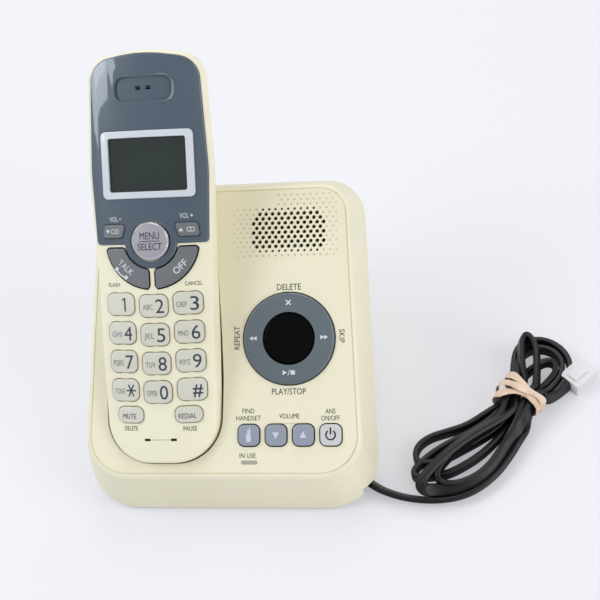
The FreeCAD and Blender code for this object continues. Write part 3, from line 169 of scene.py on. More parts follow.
# %% [markdown]
# ## Surface finishes
#
# The shells, keys and trims are moulded plastic, which is never one flat colour. A picture
# of plastic could be wrapped round them, but it would show seams and stop at one size. So
# a soft noise shifts the colour a little, as years of light do, and a much finer noise
# gives the grain of the mould as a bump. The same recipe makes every plastic, rubber, ink
# and metal here, with other colours, grain and gloss. The slate bezel alone has a full
# clear coat, because lamps are mirrored sharply in it.

# %% Moulded plastic
def add_noise(nodes, links, scale, detail, source):
    """A noise on object coordinates."""
    noise = nodes.new("ShaderNodeTexNoise")
    noise.inputs["Scale"].default_value = scale
    noise.inputs["Detail"].default_value = detail
    links.new(source.outputs["Object"], noise.inputs["Vector"])
    return noise


def moulded(name, colour, shade, roughness, grain=0.1, grain_scale=1800, patch_scale=18,
            coat=0.0, metallic=0.0, specular=0.5):
    """Plastic that drifts between two close colours, with a fine mould grain."""
    made = bpy.data.materials.new(name)
    made.use_nodes = True
    nodes, links = made.node_tree.nodes, made.node_tree.links
    shader = nodes["Principled BSDF"]
    place = nodes.new("ShaderNodeTexCoord")
    patches = add_noise(nodes, links, patch_scale, 3, place)
    ramp = nodes.new("ShaderNodeValToRGB")
    ramp.color_ramp.elements[0].position = 0.35
    ramp.color_ramp.elements[1].position = 0.65
    ramp.color_ramp.elements[0].color = shade
    ramp.color_ramp.elements[1].color = colour
    links.new(patches.outputs["Fac"], ramp.inputs["Fac"])
    links.new(ramp.outputs["Color"], shader.inputs["Base Color"])
    fine = add_noise(nodes, links, grain_scale, 2, place)
    bump = nodes.new("ShaderNodeBump")
    bump.inputs["Strength"].default_value = grain
    bump.inputs["Distance"].default_value = 0.0001
    links.new(fine.outputs["Fac"], bump.inputs["Height"])
    links.new(bump.outputs["Normal"], shader.inputs["Normal"])
    shader.inputs["Roughness"].default_value = roughness
    shader.inputs["Coat Weight"].default_value = coat
    shader.inputs["Coat Roughness"].default_value = 0.04
    shader.inputs["Metallic"].default_value = metallic
    shader.inputs["Specular IOR Level"].default_value = specular
    return made


FINISHES = {
    "cream_housing": moulded("cream_housing", screen(234, 228, 202), screen(230, 224, 196), 0.42),
    "cream_handset": moulded("cream_handset", screen(240, 235, 210), screen(236, 230, 203), 0.36),
    "slate_trim": moulded("slate_trim", screen(72, 86, 101), screen(67, 81, 96), 0.38,
                          grain=0.02, coat=1.0),
    "ring_grey": moulded("ring_grey", screen(95, 105, 111), screen(89, 99, 105), 0.34,
                         grain=0.03, coat=0.2),
    "silver_frame": moulded("silver_frame", screen(212, 217, 224), screen(204, 209, 216), 0.28,
                            grain=0.03, coat=0.4),
    "dark_display": moulded("dark_display", screen(14, 46, 44), screen(11, 40, 38), 0.3,
                            grain=0.0),
    "green_board": moulded("green_board", screen(40, 110, 60), screen(32, 96, 52), 0.45),
    "grey_rubber": moulded("grey_rubber", screen(96, 96, 98), screen(84, 84, 86), 0.75),
    "black_part": moulded("black_part", screen(26, 26, 28), screen(20, 20, 22), 0.5),
    "battery_wrap": moulded("battery_wrap", screen(60, 104, 76), screen(50, 92, 66), 0.35),
    "bright_contact": moulded("bright_contact", screen(214, 210, 200), screen(200, 196, 186), 0.25,
                              metallic=1.0),
    "steel_screw": moulded("steel_screw", screen(168, 168, 172), screen(150, 150, 154), 0.35,
                           metallic=1.0),
    "pale_key": moulded("pale_key", screen(214, 212, 199), screen(207, 205, 192), 0.4),
    "grey_key": moulded("grey_key", screen(114, 117, 121), screen(107, 110, 114), 0.4),
    "silver_key": moulded("silver_key", screen(184, 181, 190), screen(174, 171, 180), 0.32,
                          metallic=0.4),
    "smoked_window": moulded("smoked_window", screen(7, 8, 9), screen(4, 5, 6), 0.12,
                             grain=0.0, specular=0.08),
    "blue_grey_button": moulded("blue_grey_button", screen(146, 152, 166), screen(138, 144, 158),
                                0.4),
    "pale_button": moulded("pale_button", screen(202, 202, 203), screen(195, 195, 196), 0.4),
    "light_pipe": moulded("light_pipe", screen(168, 168, 154), screen(158, 158, 144), 0.25),
    "black_cord": moulded("black_cord", screen(15, 15, 17), screen(10, 10, 12), 0.36, grain=0.2,
                          specular=0.4),
    "tan_band": moulded("tan_band", screen(230, 206, 184), screen(212, 184, 158), 0.5,
                        patch_scale=160),
    "dark_ink": moulded("dark_ink", screen(44, 44, 42), screen(38, 38, 36), 0.5, grain=0.03),
    "key_ink": moulded("key_ink", screen(58, 64, 84), screen(50, 56, 74), 0.5, grain=0.03),
    "grey_ink": moulded("grey_ink", screen(126, 128, 132), screen(116, 118, 122), 0.5, grain=0.03),
    "light_ink": moulded("light_ink", screen(214, 217, 220), screen(204, 207, 210), 0.5,
                         grain=0.03),
    "pale_blue_ink": moulded("pale_blue_ink", screen(200, 206, 220), screen(192, 198, 212), 0.5,
                             grain=0.03),
    "black_ink": moulded("black_ink", screen(26, 28, 32), screen(20, 22, 26), 0.5, grain=0.03),
    # Painted shade: seam_shade in the microphone groove and the dimples, and the VOLUME line is
    # drawn in it too; gap_shade in the gaps and slots; brown_shade in the dialling keys' gaps.
    "seam_shade": moulded("seam_shade", screen(204, 196, 164), screen(196, 188, 156), 0.6,
                          grain=0.0),
    "gap_shade": moulded("gap_shade", screen(20, 20, 21), screen(15, 15, 16), 0.8, grain=0.0),
    "brown_shade": moulded("brown_shade", screen(140, 132, 104), screen(128, 120, 94), 0.7,
                           grain=0.0),
    "chrome": moulded("chrome", screen(222, 222, 228), screen(212, 212, 218), 0.16, grain=0.0,
                      metallic=0.8),
    "gold_contact": moulded("gold_contact", screen(232, 196, 110), screen(220, 182, 96), 0.25,
                            grain=0.0, metallic=1.0),
}
print("finishes:", len(FINISHES))

# %% [markdown]
# Clear plastic is glass to a shader, with a lower index and a little roughness. The
# display's window and the cord's plugs are made of it. The plugs let only a third of the
# light through: a small block of pure glass on a pale floor would all but vanish.

# %% Clear plastic
ACRYLIC_INDEX = 1.49


def clear(name, tint, roughness, clearness=1.0):
    """See-through moulded plastic."""
    made = bpy.data.materials.new(name)
    made.use_nodes = True
    shader = made.node_tree.nodes["Principled BSDF"]
    shader.inputs["Base Color"].default_value = tint
    shader.inputs["Roughness"].default_value = roughness
    shader.inputs["IOR"].default_value = ACRYLIC_INDEX
    shader.inputs["Transmission Weight"].default_value = clearness
    return made


FINISHES["clear_window"] = clear("clear_window", screen(228, 236, 234), 0.03)
FINISHES["clear_plug"] = clear("clear_plug", screen(252, 252, 253), 0.4, 0.35)
print("finishes with the clear ones:", len(FINISHES))

# %% [markdown]
# Every solid of the frame names its finish in the record. The solids are loose triangles,
# and changing their meshes is not wanted. A modifier leaves the mesh alone, so a small
# geometry node group joins the triangles and smooths every edge that bends by less than
# 32 degrees, while real corners stay crisp.

# %% Smooth and paint the solids
SMOOTH_BELOW = 32
JOIN_WITHIN = 0.000002


def smoothing_group():
    """Joins a node's triangles and smooths the gentle bends between them."""
    group = bpy.data.node_groups.new("smooth_gentle_bends", "GeometryNodeTree")
    group.interface.new_socket("Geometry", in_out="INPUT", socket_type="NodeSocketGeometry")
    group.interface.new_socket("Geometry", in_out="OUTPUT", socket_type="NodeSocketGeometry")
    nodes, links = group.nodes, group.links
    start, end = nodes.new("NodeGroupInput"), nodes.new("NodeGroupOutput")
    merge = nodes.new("GeometryNodeMergeByDistance")
    merge.inputs["Distance"].default_value = JOIN_WITHIN
    angle = nodes.new("GeometryNodeInputMeshEdgeAngle")
    gentle = nodes.new("FunctionNodeCompare")
    gentle.operation = "LESS_THAN"
    gentle.inputs["B"].default_value = math.radians(SMOOTH_BELOW)
    faces, edges = nodes.new("GeometryNodeSetShadeSmooth"), nodes.new("GeometryNodeSetShadeSmooth")
    edges.domain = "EDGE"
    links.new(start.outputs[0], merge.inputs["Geometry"])
    links.new(merge.outputs["Geometry"], faces.inputs["Geometry"])
    links.new(faces.outputs["Geometry"], edges.inputs["Geometry"])
    links.new(angle.outputs["Unsigned Angle"], gentle.inputs["A"])
    links.new(gentle.outputs["Result"], edges.inputs["Shade Smooth"])
    links.new(edges.outputs["Geometry"], end.inputs[0])
    return group


def paint(piece, finish):
    """Gives a piece one finish."""
    piece.data.materials.clear()
    piece.data.materials.append(FINISHES[finish])


smoothing = smoothing_group()
for part in frame["record"]["subparts"]:
    solid = frame["nodes"][part["node"]]
    paint(solid, "ring_grey" if part["node"] == "rocker_ring" else part["material_slot"])
    solid.modifiers.new("smooth", "NODES").node_group = smoothing

# %% [markdown]
# ## The line cord
#
# A flat cord leaves the jack well under the base, comes out at the front right corner,
# runs along the table and is folded into a hank: it goes up through a rubber band, round
# a short loop, down through the band again and round a long loop, four times over. A rope
# simulation could fold it, but nobody could say where its loops end up. So it is one
# smooth spline whose points are listed for each loop, and the band holds the
# passes side by side in two layers.

# %% The cord's route
JACK_EXIT = (27.2, -7.9, 7.9)
LEAD = [JACK_EXIT, (27.2, -15.9, 7.9), (29.1, -25.6, 4.3), (38.5, -37.4, 3.3),
        (54.6, -56.2, 2.8), (67.2, -62.2, 2.5), (81.5, -64, 2.4), (94.5, -61.6, 2.4),
        (104.6, -54, 2.8), (111.3, -44.6, 3.2), (116.5, -35, 3.8)]
LOOPS = [
    # outer short loop, then the upper left long loop
    [(128.9, -17.5, 4.5), (133.2, -12.4, 4), (136.8, -6.3, 3.8), (137.5, 0.2, 3.8),
     (134.6, 6.4, 3.8), (129.4, 10.6, 3.8), (123.6, 11.8, 3.8), (118, 9.8, 3.8),
     (115, 5.2, 3.8), (114, -2.1, 4), (113.6, -8.2, 4.2)],
    [(107, -21.8, 4), (101.6, -25.4, 3.6), (94.7, -30.5, 3.4), (86.9, -33.2, 3.2),
     (80, -35.5, 3.2), (75.2, -39.3, 3.2), (73.7, -43.9, 3.2), (75, -47.6, 3.2),
     (79.4, -48.1, 3.2), (86.2, -45.4, 3.2), (93.8, -40.7, 3.2), (101.1, -36.2, 3.4),
     (107.2, -31.7, 3.6), (111.7, -26.7, 4)],
    # small slanting loop, then the loop that ends in the left tip
    [(125.1, -13.6, 4.5), (128.5, -10, 5), (131.5, -6.2, 6), (131.2, -2, 6.5),
     (127.6, -1.3, 7), (123.4, -3.8, 7), (120, -6, 6), (117.5, -8.8, 5)],
    [(107.7, -23.8, 4), (103.6, -28.4, 3.8), (95.9, -33.9, 3.5), (87.8, -38.5, 3.4),
     (80.9, -43.1, 3.3), (75.8, -48.2, 3.3), (73.1, -51.8, 3.3), (74.3, -54.6, 3.3),
     (79.1, -53.6, 3.3), (85.9, -53.2, 3.3), (93.4, -49.1, 3.3), (100.6, -43.7, 3.4),
     (106.7, -37.3, 3.6), (111.6, -30, 4)],
    # second short loop, then the inner long loop
    [(127, -15.8, 4.8), (131.3, -10.5, 4.2), (134, -4.9, 4), (134.3, 0.6, 4),
     (131.2, 5.3, 4), (125.9, 7.5, 4), (120.4, 6.2, 4.5), (116.5, 0.6, 6),
     (115.5, -7.1, 8.5)],
    [(109.3, -27.4, 9), (106.5, -31.1, 8.8), (99.2, -37, 8.6), (91.6, -43.3, 8.4),
     (85.3, -50.1, 8.2), (82.5, -55.3, 7), (85.2, -58.2, 5), (91, -57.4, 3.6),
     (98.1, -54.1, 3.4), (103.7, -48.7, 3.3), (108.2, -41.4, 3.4), (111.5, -35, 4.4),
     (114.4, -31.3, 7.6)],
    # small raised loop at the top, then the long loop that lies over the others
    [(122.9, -16.2, 10), (123.5, -10.1, 10.5), (123.8, -2.6, 10.5), (123.7, 4.8, 10),
     (121.8, 9.9, 9.5), (119.3, 11, 9.5), (117.6, 7.5, 10), (117.3, 0, 10.5),
     (117.5, -7.5, 10.5)],
    [(114.2, -25.1, 10.5), (109.7, -30, 10.8), (101.7, -34.9, 10.5), (93.3, -40.6, 10),
     (85.3, -47.6, 9.5), (79.5, -54.1, 9), (76.3, -58.5, 8), (77.8, -61, 6),
     (82.8, -60, 4.2), (89.9, -59.2, 3.6), (96.9, -56.8, 3.4), (103.3, -52.3, 3.3),
     (108.5, -45.1, 3.4), (112.3, -37.2, 4.2), (115.2, -33.2, 7.5)],
]
TAIL = [(127, -20, 7), (131, -16, 4), (136.4, -10.6, 3.3), (138.9, -8.1, 3.3)]
# Each pass through the band: how far to its right, and how high.
PASSES = [(6, 4.2), (-6, 4.2), (1.2, 4.2), (-3.6, 4.2), (3.6, 4.2), (-3.6, 9.8), (3.6, 9.8),
          (-1.2, 9.8), (6, 9.8)]
BAND_MIDDLE = Vector((116.3, -19.2, 0))
BAND_ALONG = Vector((0.516, 0.857, 0))
BAND_ACROSS = Vector((0.857, -0.516, 0))
BAND_REACH = 5


def through_band(across, height, upwards):
    """Two points on either side of the band, so that the pass between them is straight."""
    ends = [BAND_MIDDLE + BAND_ALONG * along + BAND_ACROSS * across + Vector((0, 0, height))
            for along in (-BAND_REACH, BAND_REACH)]
    return [tuple(point) for point in (ends if upwards else reversed(ends))]


LEAD_TILT = -52
LOOP_TILTS = [90, 90, 90, 90, 90, 90, 75, 40, 80]
route, tilts = list(LEAD), [LEAD_TILT] * len(LEAD)
for number, (across, height) in enumerate(PASSES):
    added = through_band(across, height, number % 2 == 0)
    added += LOOPS[number] if number < len(LOOPS) else TAIL
    route += added
    tilts += [LOOP_TILTS[number]] * len(added)
print("cord points:", len(route))

# %% [markdown]
# A round bevel would make a round cable. This cord is flat, so a closed outline with round
# edges is swept along the spline. The spline is told to keep the outline upright, and a
# tilt at each point turns it: leaning over on the table at first, then up on its edge in
# the loops, because such a cord bends easily only over its flat side.

# %% Sweep the cord
CORD_WIDTH = 5.2
CORD_THICKNESS = 2.3
CORD_ROUND = 0.75


def cord_outline():
    """A flat oval outline to sweep, hidden itself."""
    data = bpy.data.curves.new("cord_outline", "CURVE")
    data.dimensions = "2D"
    flat = CORD_WIDTH / 2 - CORD_ROUND
    high = CORD_THICKNESS / 2 - CORD_ROUND
    points = []
    for corner, (x, y) in enumerate([(flat, high), (-flat, high), (-flat, -high), (flat, -high)]):
        for step in range(5):
            turn = math.radians(90 * corner + 22.5 * step)
            points.append((x + CORD_ROUND * math.cos(turn), y + CORD_ROUND * math.sin(turn)))
    spline = data.splines.new("POLY")
    spline.points.add(len(points) - 1)
    for point, (x, y) in zip(spline.points, points):
        point.co = (x * MM, y * MM, 0, 1)
    spline.use_cyclic_u = True
    made = link("cord_outline", data)
    made.hide_render = True
    return made


def make_cord():
    """The whole flat cord as one spline."""
    data = bpy.data.curves.new("flat_line_cord", "CURVE")
    data.dimensions = "3D"
    data.twist_mode = "Z_UP"
    data.bevel_mode = "OBJECT"
    data.bevel_object = cord_outline()
    data.use_fill_caps = True
    data.resolution_u = 8
    spline = data.splines.new("NURBS")
    spline.points.add(len(route) - 1)
    for point, place, tilt in zip(spline.points, route, tilts):
        point.co = (*(Vector(place) * MM), 1)
        point.tilt = math.radians(tilt)
    spline.order_u = 3
    spline.use_endpoint_u = True
    return link("flat_line_cord", data)


flat_line_cord = make_cord()
paint(flat_line_cord, "black_cord")
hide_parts("line_cord", "cord_hank", "line_cord_tail")
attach(flat_line_cord, "base")
length = sum((Vector(b) - Vector(a)).length for a, b in zip(route, route[1:])) * MM
print("run of its points:", round(length, 3), "m")

# %% [markdown]
# ## The rubber band
#
# A flat tan band is wound three times round the hank. One ring could stand for it, but a
# real band twists and crosses itself. So each wrap is its own closed loop: four rings of
# points, one for each corner of its flat section, stand askew round the cord's passes, and
# a skin is drawn over them. Wraps that lean differently cross one another. Underneath,
# where the table presses on them, they come down less far than they rise on top.

# %% Wind the band
# Each wrap: its shift along the hank, its lean, how far it stands off, and its width.
BAND_WRAPS = [(-2.1, 0.34, 0.0, 4.0), (1.9, -0.42, 0.7, 3.8), (0.3, 0.1, 1.2, 3.4)]
BAND_HALF_ACROSS, BAND_UP, BAND_RISE, BAND_FALL = 8.4, 7.7, 6.6, 6.3
BAND_THICK = 0.9
BAND_STEPS = 64


def wrap_frame(turn, shift, lean, grow):
    """Where a wrap passes at an angle round the hank, and its direction outwards."""
    across, up = math.cos(turn), math.sin(turn)
    rise = up * (BAND_RISE + grow) if up > 0 else up * BAND_FALL
    place = (BAND_MIDDLE + BAND_ACROSS * across * (BAND_HALF_ACROSS + grow)
             + Vector((0, 0, BAND_UP + rise))
             + BAND_ALONG * (shift + lean * across * 9 + 0.5 * math.sin(3 * turn + shift)))
    return place, BAND_ACROSS * across + Vector((0, 0, up))


def make_band():
    """Three crossing wraps of a flat rubber band."""
    work = bmesh.new()
    for shift, lean, grow, width in BAND_WRAPS:
        corners = []
        for step in range(BAND_STEPS):
            turn = 2 * math.pi * step / BAND_STEPS
            place, outward = wrap_frame(turn, shift, lean, grow)
            half = BAND_ALONG * (width / 2 + 0.35 * math.sin(5 * turn + lean * 9))
            curl = outward * 0.35 * math.sin(4 * turn + shift)
            corners.append([corner * MM for corner in (
                place - half - curl, place + half + curl,
                place + half + curl + outward * BAND_THICK,
                place - half - curl + outward * BAND_THICK)])
        skin_rings(work, list(zip(*corners)))
    band = mesh_piece("rubber_band", work)
    rounding = band.modifiers.new("rounding", "SUBSURF")
    rounding.levels = rounding.render_levels = 2
    return band


rubber_band = make_band()
paint(rubber_band, "tan_band")
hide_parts("cord_tie")
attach(rubber_band, "base")
print("band faces:", len(rubber_band.data.polygons))

# %% [markdown]

# %% [markdown]
# ## Print
#
# The words and signs are ink on the plastic. They could be painted as a picture, but a
# picture blurs close up. Thin flat shapes just clear of the face stay sharp. A word is drawn
# with the built-in font, made a mesh and brought to the width and the capital height that
# it has on the object. A sign is made of plates with straight sides, each a flat face
# extruded by the ink's thickness. Each key's print is a piece of its own, because it moves
# with its key.

# %% Words and signs
INK = 0.03
INK_GAP = 0.02
FONT_CAPITAL = 0.69  # capital height of the built-in font at size 1


def flat_words(words, width, height, bold=0.0):
    """Words as a thin mesh round the middle, in millimetres."""
    data = bpy.data.curves.new("words", "FONT")
    data.body = words
    data.extrude = INK / 2
    data.offset = bold
    data.resolution_u = 3
    holder = bpy.data.objects.new("words", data)
    shape = bpy.data.meshes.new_from_object(holder)
    bpy.data.objects.remove(holder)
    ends = [corner.co.x for corner in shape.vertices]
    middle = Vector(((min(ends) + max(ends)) / 2, FONT_CAPITAL / 2, -INK / 2))
    stretch = Matrix.Diagonal((width / (max(ends) - min(ends)), height / FONT_CAPITAL, 1, 1))
    shape.transform(stretch @ Matrix.Translation(-middle))
    return shape


def flat_plates(*outlines):
    """Thin plates with straight sides, in millimetres."""
    work = bmesh.new()
    for outline in outlines:
        bottom = work.faces.new([work.verts.new((x, y, 0)) for x, y in outline])
        drawn = bmesh.ops.extrude_face_region(work, geom=[bottom], use_keep_orig=True)["geom"]
        top = [item for item in drawn if isinstance(item, bmesh.types.BMVert)]
        bmesh.ops.translate(work, verts=top, vec=(0, 0, INK))
    shape = bpy.data.meshes.new("plates")
    work.to_mesh(shape)
    work.free()
    return shape


def bar(start, end, width):
    """The outline of a straight bar between two points."""
    along = (Vector(end) - Vector(start)).normalized()
    side = Vector((-along.y, along.x)) * width / 2
    start, end = Vector(start), Vector(end)
    return [tuple(point) for point in (start - side, end - side, end + side, start + side)]


def arc(radius, first, last, width, steps=12):
    """The outline of a bent bar round the middle, between two angles in degrees."""
    turns = [math.radians(first + (last - first) * step / steps) for step in range(steps + 1)]
    outer = [((radius + width / 2) * math.cos(turn), (radius + width / 2) * math.sin(turn))
             for turn in turns]
    inner = [((radius - width / 2) * math.cos(turn), (radius - width / 2) * math.sin(turn))
             for turn in turns]
    return outer + inner[::-1]


def box(width, height, across=0.0, up=0.0):
    """The outline of a rectangle."""
    return [(across - width / 2, up - height / 2), (across + width / 2, up - height / 2),
            (across + width / 2, up + height / 2), (across - width / 2, up + height / 2)]


def arrow(width, height, across=0.0, up=0.0):
    """The outline of a triangle that points right, or left for a negative width."""
    return [(across - width / 2, up - height / 2), (across + width / 2, up),
            (across - width / 2, up + height / 2)]


def lay_on(face, shape):
    """Moves a mesh in millimetres from a face's frame into the world, bent over an arched face."""
    if face is HANDSET:
        for corner in shape.vertices:
            radius = HANDSET_ARCH + corner.co.z
            corner.co.z = math.sqrt(radius ** 2 - corner.co.x ** 2) - HANDSET_ARCH
    shape.transform(face @ Matrix.Scale(MM, 4))


def print_piece(name, finish, body, face, marks):
    """One colour of ink or painted shade on one face: (shape, across, up, out, turn in degrees)
    each.
    """
    work = bmesh.new()
    for shape, across, up, out, turn in marks:
        place = Matrix.Translation(Vector((across, up, out + INK_GAP)))
        shape.transform(place @ Matrix.Rotation(math.radians(turn), 4, "Z"))
        lay_on(face, shape)
        work.from_mesh(shape)
        bpy.data.meshes.remove(shape)
    bmesh.ops.remove_doubles(work, verts=work.verts, dist=TOUCHING)
    piece = mesh_piece(name, work, smooth=False)
    paint(piece, finish)
    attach(piece, body)
    return piece


print("ink stands", INK_GAP + INK, "mm proud")

# %% [markdown]
# The panel's words stand round the ring and over the small buttons. The ring's and the
# buttons' own signs are pieces that ride on them, so that they move when they are pressed.
# Left and right words read up and down the panel, which is a quarter turn of the mesh.

# %% Print on the panel
RING_WORDS = [("DELETE", 0.1, 20.4, 9.65, 2.4, 0), ("PLAY/STOP", -0.2, -20.7, 13.5, 2.4, 0),
              ("REPEAT", -20.9, 0.6, 9.2, 2.2, 90), ("SKIP", 20.9, 0.6, 5.3, 2.2, -90),
              ("FIND", -16.4, -28.2, 4.8, 1.9, 0), ("HANDSET", -16.4, -31.0, 9.85, 1.9, 0),
              ("VOLUME", -0.1, -30.3, 8.0, 1.9, 0), ("ANS", 16.1, -28.5, 3.9, 1.9, 0),
              ("ON/OFF", 16.1, -31.2, 7.2, 1.9, 0), ("IN USE", -16.8, -45.6, 6.5, 1.8, 0)]
print_piece("panel_print", "dark_ink", "base", PANEL,
            [(flat_words(words, width, height), RING_ACROSS + across, up, 0, turn)
             for words, across, up, width, height, turn in RING_WORDS])

RING_PROUD = 1.3
ring_signs = [
    (flat_plates(bar((-0.95, -0.95), (0.95, 0.95), 0.5), bar((-0.95, 0.95), (-0.2, 0.2), 0.5),
                 bar((0.2, -0.2), (0.95, -0.95), 0.5)), 0, 14.1),
    (flat_plates(arrow(-1.5, 1.7, -0.75), arrow(-1.5, 1.7, 0.75)), -14.2, 0.2),
    (flat_plates(arrow(1.5, 1.7, -0.75), arrow(1.5, 1.7, 0.75)), 14.1, 0.2),
    (flat_plates(arrow(1.7, 2, -1.6), bar((-0.35, -1.1), (0.45, 1.1), 0.3), box(1.7, 1.7, 1.6)),
     0, -13.4),
]
print_piece("ring_print", "light_ink", "rocker_ring", PANEL,
            [(shape, RING_ACROSS + across, up, RING_PROUD, 0) for shape, across, up in ring_signs])

BUTTON_PROUD, BUTTON_DOWN, BUTTON_PITCH = 1.1, 37.7, 10.8
BUTTON_SIGNS = [
    ("find_handset_button", "pale_blue_ink", [box(1.9, 3.0, 0, -1.0), box(1.3, 1.5, 0.1, 1.4),
                                              box(0.4, 1.0, 0.5, 2.7)]),
    ("volume_down_button", "pale_blue_ink", [[(-1.35, 1.1), (0, -1.6), (1.35, 1.1)]]),
    ("volume_up_button", "pale_blue_ink", [[(-1.35, -1.1), (1.35, -1.1), (0, 1.6)]]),
    ("answer_on_off_button", "black_ink", [arc(1.85, -235, 55, 0.6), box(0.6, 2.6, 0, 1.5)]),
]
for number, (button, finish, plates) in enumerate(BUTTON_SIGNS):
    across = RING_ACROSS + (number - 1.5) * BUTTON_PITCH
    print_piece(button + "_print", finish, button, PANEL,
                [(flat_plates(*plates), across, -BUTTON_DOWN, BUTTON_PROUD, 0)])
print("panel words:", len(RING_WORDS), "button signs:", len(BUTTON_SIGNS))

# %% [markdown]
# The handset's print: small words on the shell and the bezel, and a digit with its three
# or four letters on each dialling key. The star, the 1 and the signs are made of plates,
# because the font's own are of another shape than those on the keys.

# %% Print on the handset
SHELL_WORDS = [("FLASH", -16.1, 68.6, 4.7, 1.5), ("CANCEL", 15.9, 68.5, 6.6, 1.5),
               ("DELETE", -11.9, 11.9, 5.6, 1.8), ("PAUSE", 11.9, 11.7, 5.2, 1.8)]
print_piece("shell_print", "dark_ink", "handset", HANDSET,
            [(flat_words(words, width, height), across, up, 0, 0)
             for words, across, up, width, height in SHELL_WORDS])
BEZEL_PROUD = 0.6
print_piece("bezel_print", "light_ink", "handset", HANDSET,
            [(flat_words("VOL", 3.5, 1.9), -14.6, 94.1, BEZEL_PROUD, 0),
             (flat_plates(box(0.9, 0.3)), -11.9, 94.1, BEZEL_PROUD, 0),
             (flat_words("VOL", 3.5, 1.9), 13.6, 94.7, BEZEL_PROUD, 0),
             (flat_plates(box(1.1, 0.3), box(0.3, 0.4, 0, 0.35), box(0.3, 0.4, 0, -0.35)),
              16.4, 94.7, BEZEL_PROUD, 0)])

KEY_PROUD, KEY_PITCH, KEY_ROW_PITCH, KEY_FIRST_UP, KEY_DROP = 0.9, 13.45, 11.27, 61.01, 0.8
KEY_WORDS = [("1", ""), ("2", "ABC"), ("3", "DEF"), ("4", "GHI"), ("5", "JKL"), ("6", "MNO"),
             ("7", "PQRS"), ("8", "TUV"), ("9", "WXYZ"), ("star", "TONE"), ("0", "OPER"),
             ("hash", "")]
for number, (digit, letters) in enumerate(KEY_WORDS):
    column, line = number % 3 - 1, number // 3
    across = column * KEY_PITCH
    up = KEY_FIRST_UP - line * KEY_ROW_PITCH - (0 if column else KEY_DROP)
    if digit == "star":
        sign = flat_plates(*[bar((-2.7 * math.cos(turn) * 0.75, -2.7 * math.sin(turn)),
                                 (2.7 * math.cos(turn) * 0.75, 2.7 * math.sin(turn)), 0.55)
                             for turn in (0, math.radians(58), math.radians(122))])
    elif digit == "hash":
        sign = flat_words("#", 3.9, 4.8, 0.012)
    elif digit == "1":
        sign = flat_plates(box(0.62, 5.3, 0.35), bar((-0.85, 1.6), (0.3, 2.5), 0.5))
    else:
        sign = flat_words(digit, 3.3, 5.4)
    shift = {"1": 1.5, "hash": 2.3}.get(digit, 2.6)
    print_piece(f"key_{digit}_digit", "key_ink", f"key_{digit}", HANDSET,
                [(sign, across + shift, up - 0.1, KEY_PROUD, 0)])
    if letters:
        width = 4.3 if len(letters) > 3 else 4.0
        print_piece(f"key_{digit}_letters", "grey_ink", f"key_{digit}", HANDSET,
                    [(flat_words(letters, width, 2.1), across - 2.2, up - 0.4, KEY_PROUD, 0)])

LOW_KEY_UP, LOW_KEY_ACROSS = 17.4, 11.7
for key, words, side, width in (("mute_key", "MUTE", -1, 5.5), ("redial_key", "REDIAL", 1, 6.9)):
    print_piece(key + "_print", "key_ink", key, HANDSET,
                [(flat_words(words, width, 2.0), side * LOW_KEY_ACROSS - 0.4, LOW_KEY_UP - 0.5,
                  KEY_PROUD, 0)])
print("dialling keys:", len(KEY_WORDS))

# %% [markdown]
# The two curved keys carry their words along the curve, so those are turned by 42 degrees.
# The talk key has the sign of a lying receiver under its word, the menu key has two words
# with a dotted line between them, and the right soft key has the sign of an open book.

# %% Print on the talk, soft and menu keys
talk_sign = [arc(9.5, -106, -74, 0.55), box(1.3, 1.5, -2.5, -8.9), box(1.3, 1.5, 2.5, -8.9)]
talk_sign = [[(x, y + 5.9) for x, y in plate] for plate in talk_sign]
print_piece("talk_key_print", "light_ink", "talk_key", HANDSET,
            [(flat_words("TALK", 7.2, 2.4), -10.35, 75.4, KEY_PROUD, -42),
             (flat_plates(*talk_sign), -10.35, 75.4, KEY_PROUD, -42)])
print_piece("off_key_print", "light_ink", "off_key", HANDSET,
            [(flat_words("OFF", 6.3, 2.6, 0.01), 11.2, 75.1, KEY_PROUD, 42)])

SOFT_PROUD, SOFT_UP, SOFT_ACROSS = 1.5, 89.4, 14.8
print_piece("left_soft_key_print", "light_ink", "left_soft_key", HANDSET,
            [(flat_words("CID", 3.4, 1.8), -SOFT_ACROSS + 0.9, SOFT_UP, SOFT_PROUD, 0),
             (flat_plates([(-0.8, 0.7), (0, -0.8), (0.8, 0.7)]), -SOFT_ACROSS - 2.2, SOFT_UP,
              SOFT_PROUD, 0)])
book = [box(0.25, 1.6, -1.3), box(0.25, 1.6, 1.3), box(0.25, 1.6), box(1.3, 0.25, -0.65, -0.75),
        box(1.3, 0.25, 0.65, -0.75), box(1.3, 0.25, -0.65, 0.75), box(1.3, 0.25, 0.65, 0.75)]
print_piece("right_soft_key_print", "light_ink", "right_soft_key", HANDSET,
            [(flat_plates([(-0.8, -0.7), (0.8, -0.7), (0, 0.8)]), SOFT_ACROSS - 2.4, SOFT_UP,
              SOFT_PROUD, 0),
             (flat_plates(*book), SOFT_ACROSS + 1.3, SOFT_UP, SOFT_PROUD, 0)])

MENU_UP = 85.31
print_piece("menu_key_print", "dark_ink", "menu_key", HANDSET,
            [(flat_words("MENU", 7.7, 2.7), 0, MENU_UP + 2.1, SOFT_PROUD, 0),
             (flat_words("SELECT", 9.6, 2.6), 0, MENU_UP - 2.1, SOFT_PROUD, 0),
             (flat_plates(*[box(1, 0.25, step - 3.5) for step in range(8)]), 0, MENU_UP,
              SOFT_PROUD, 0)])
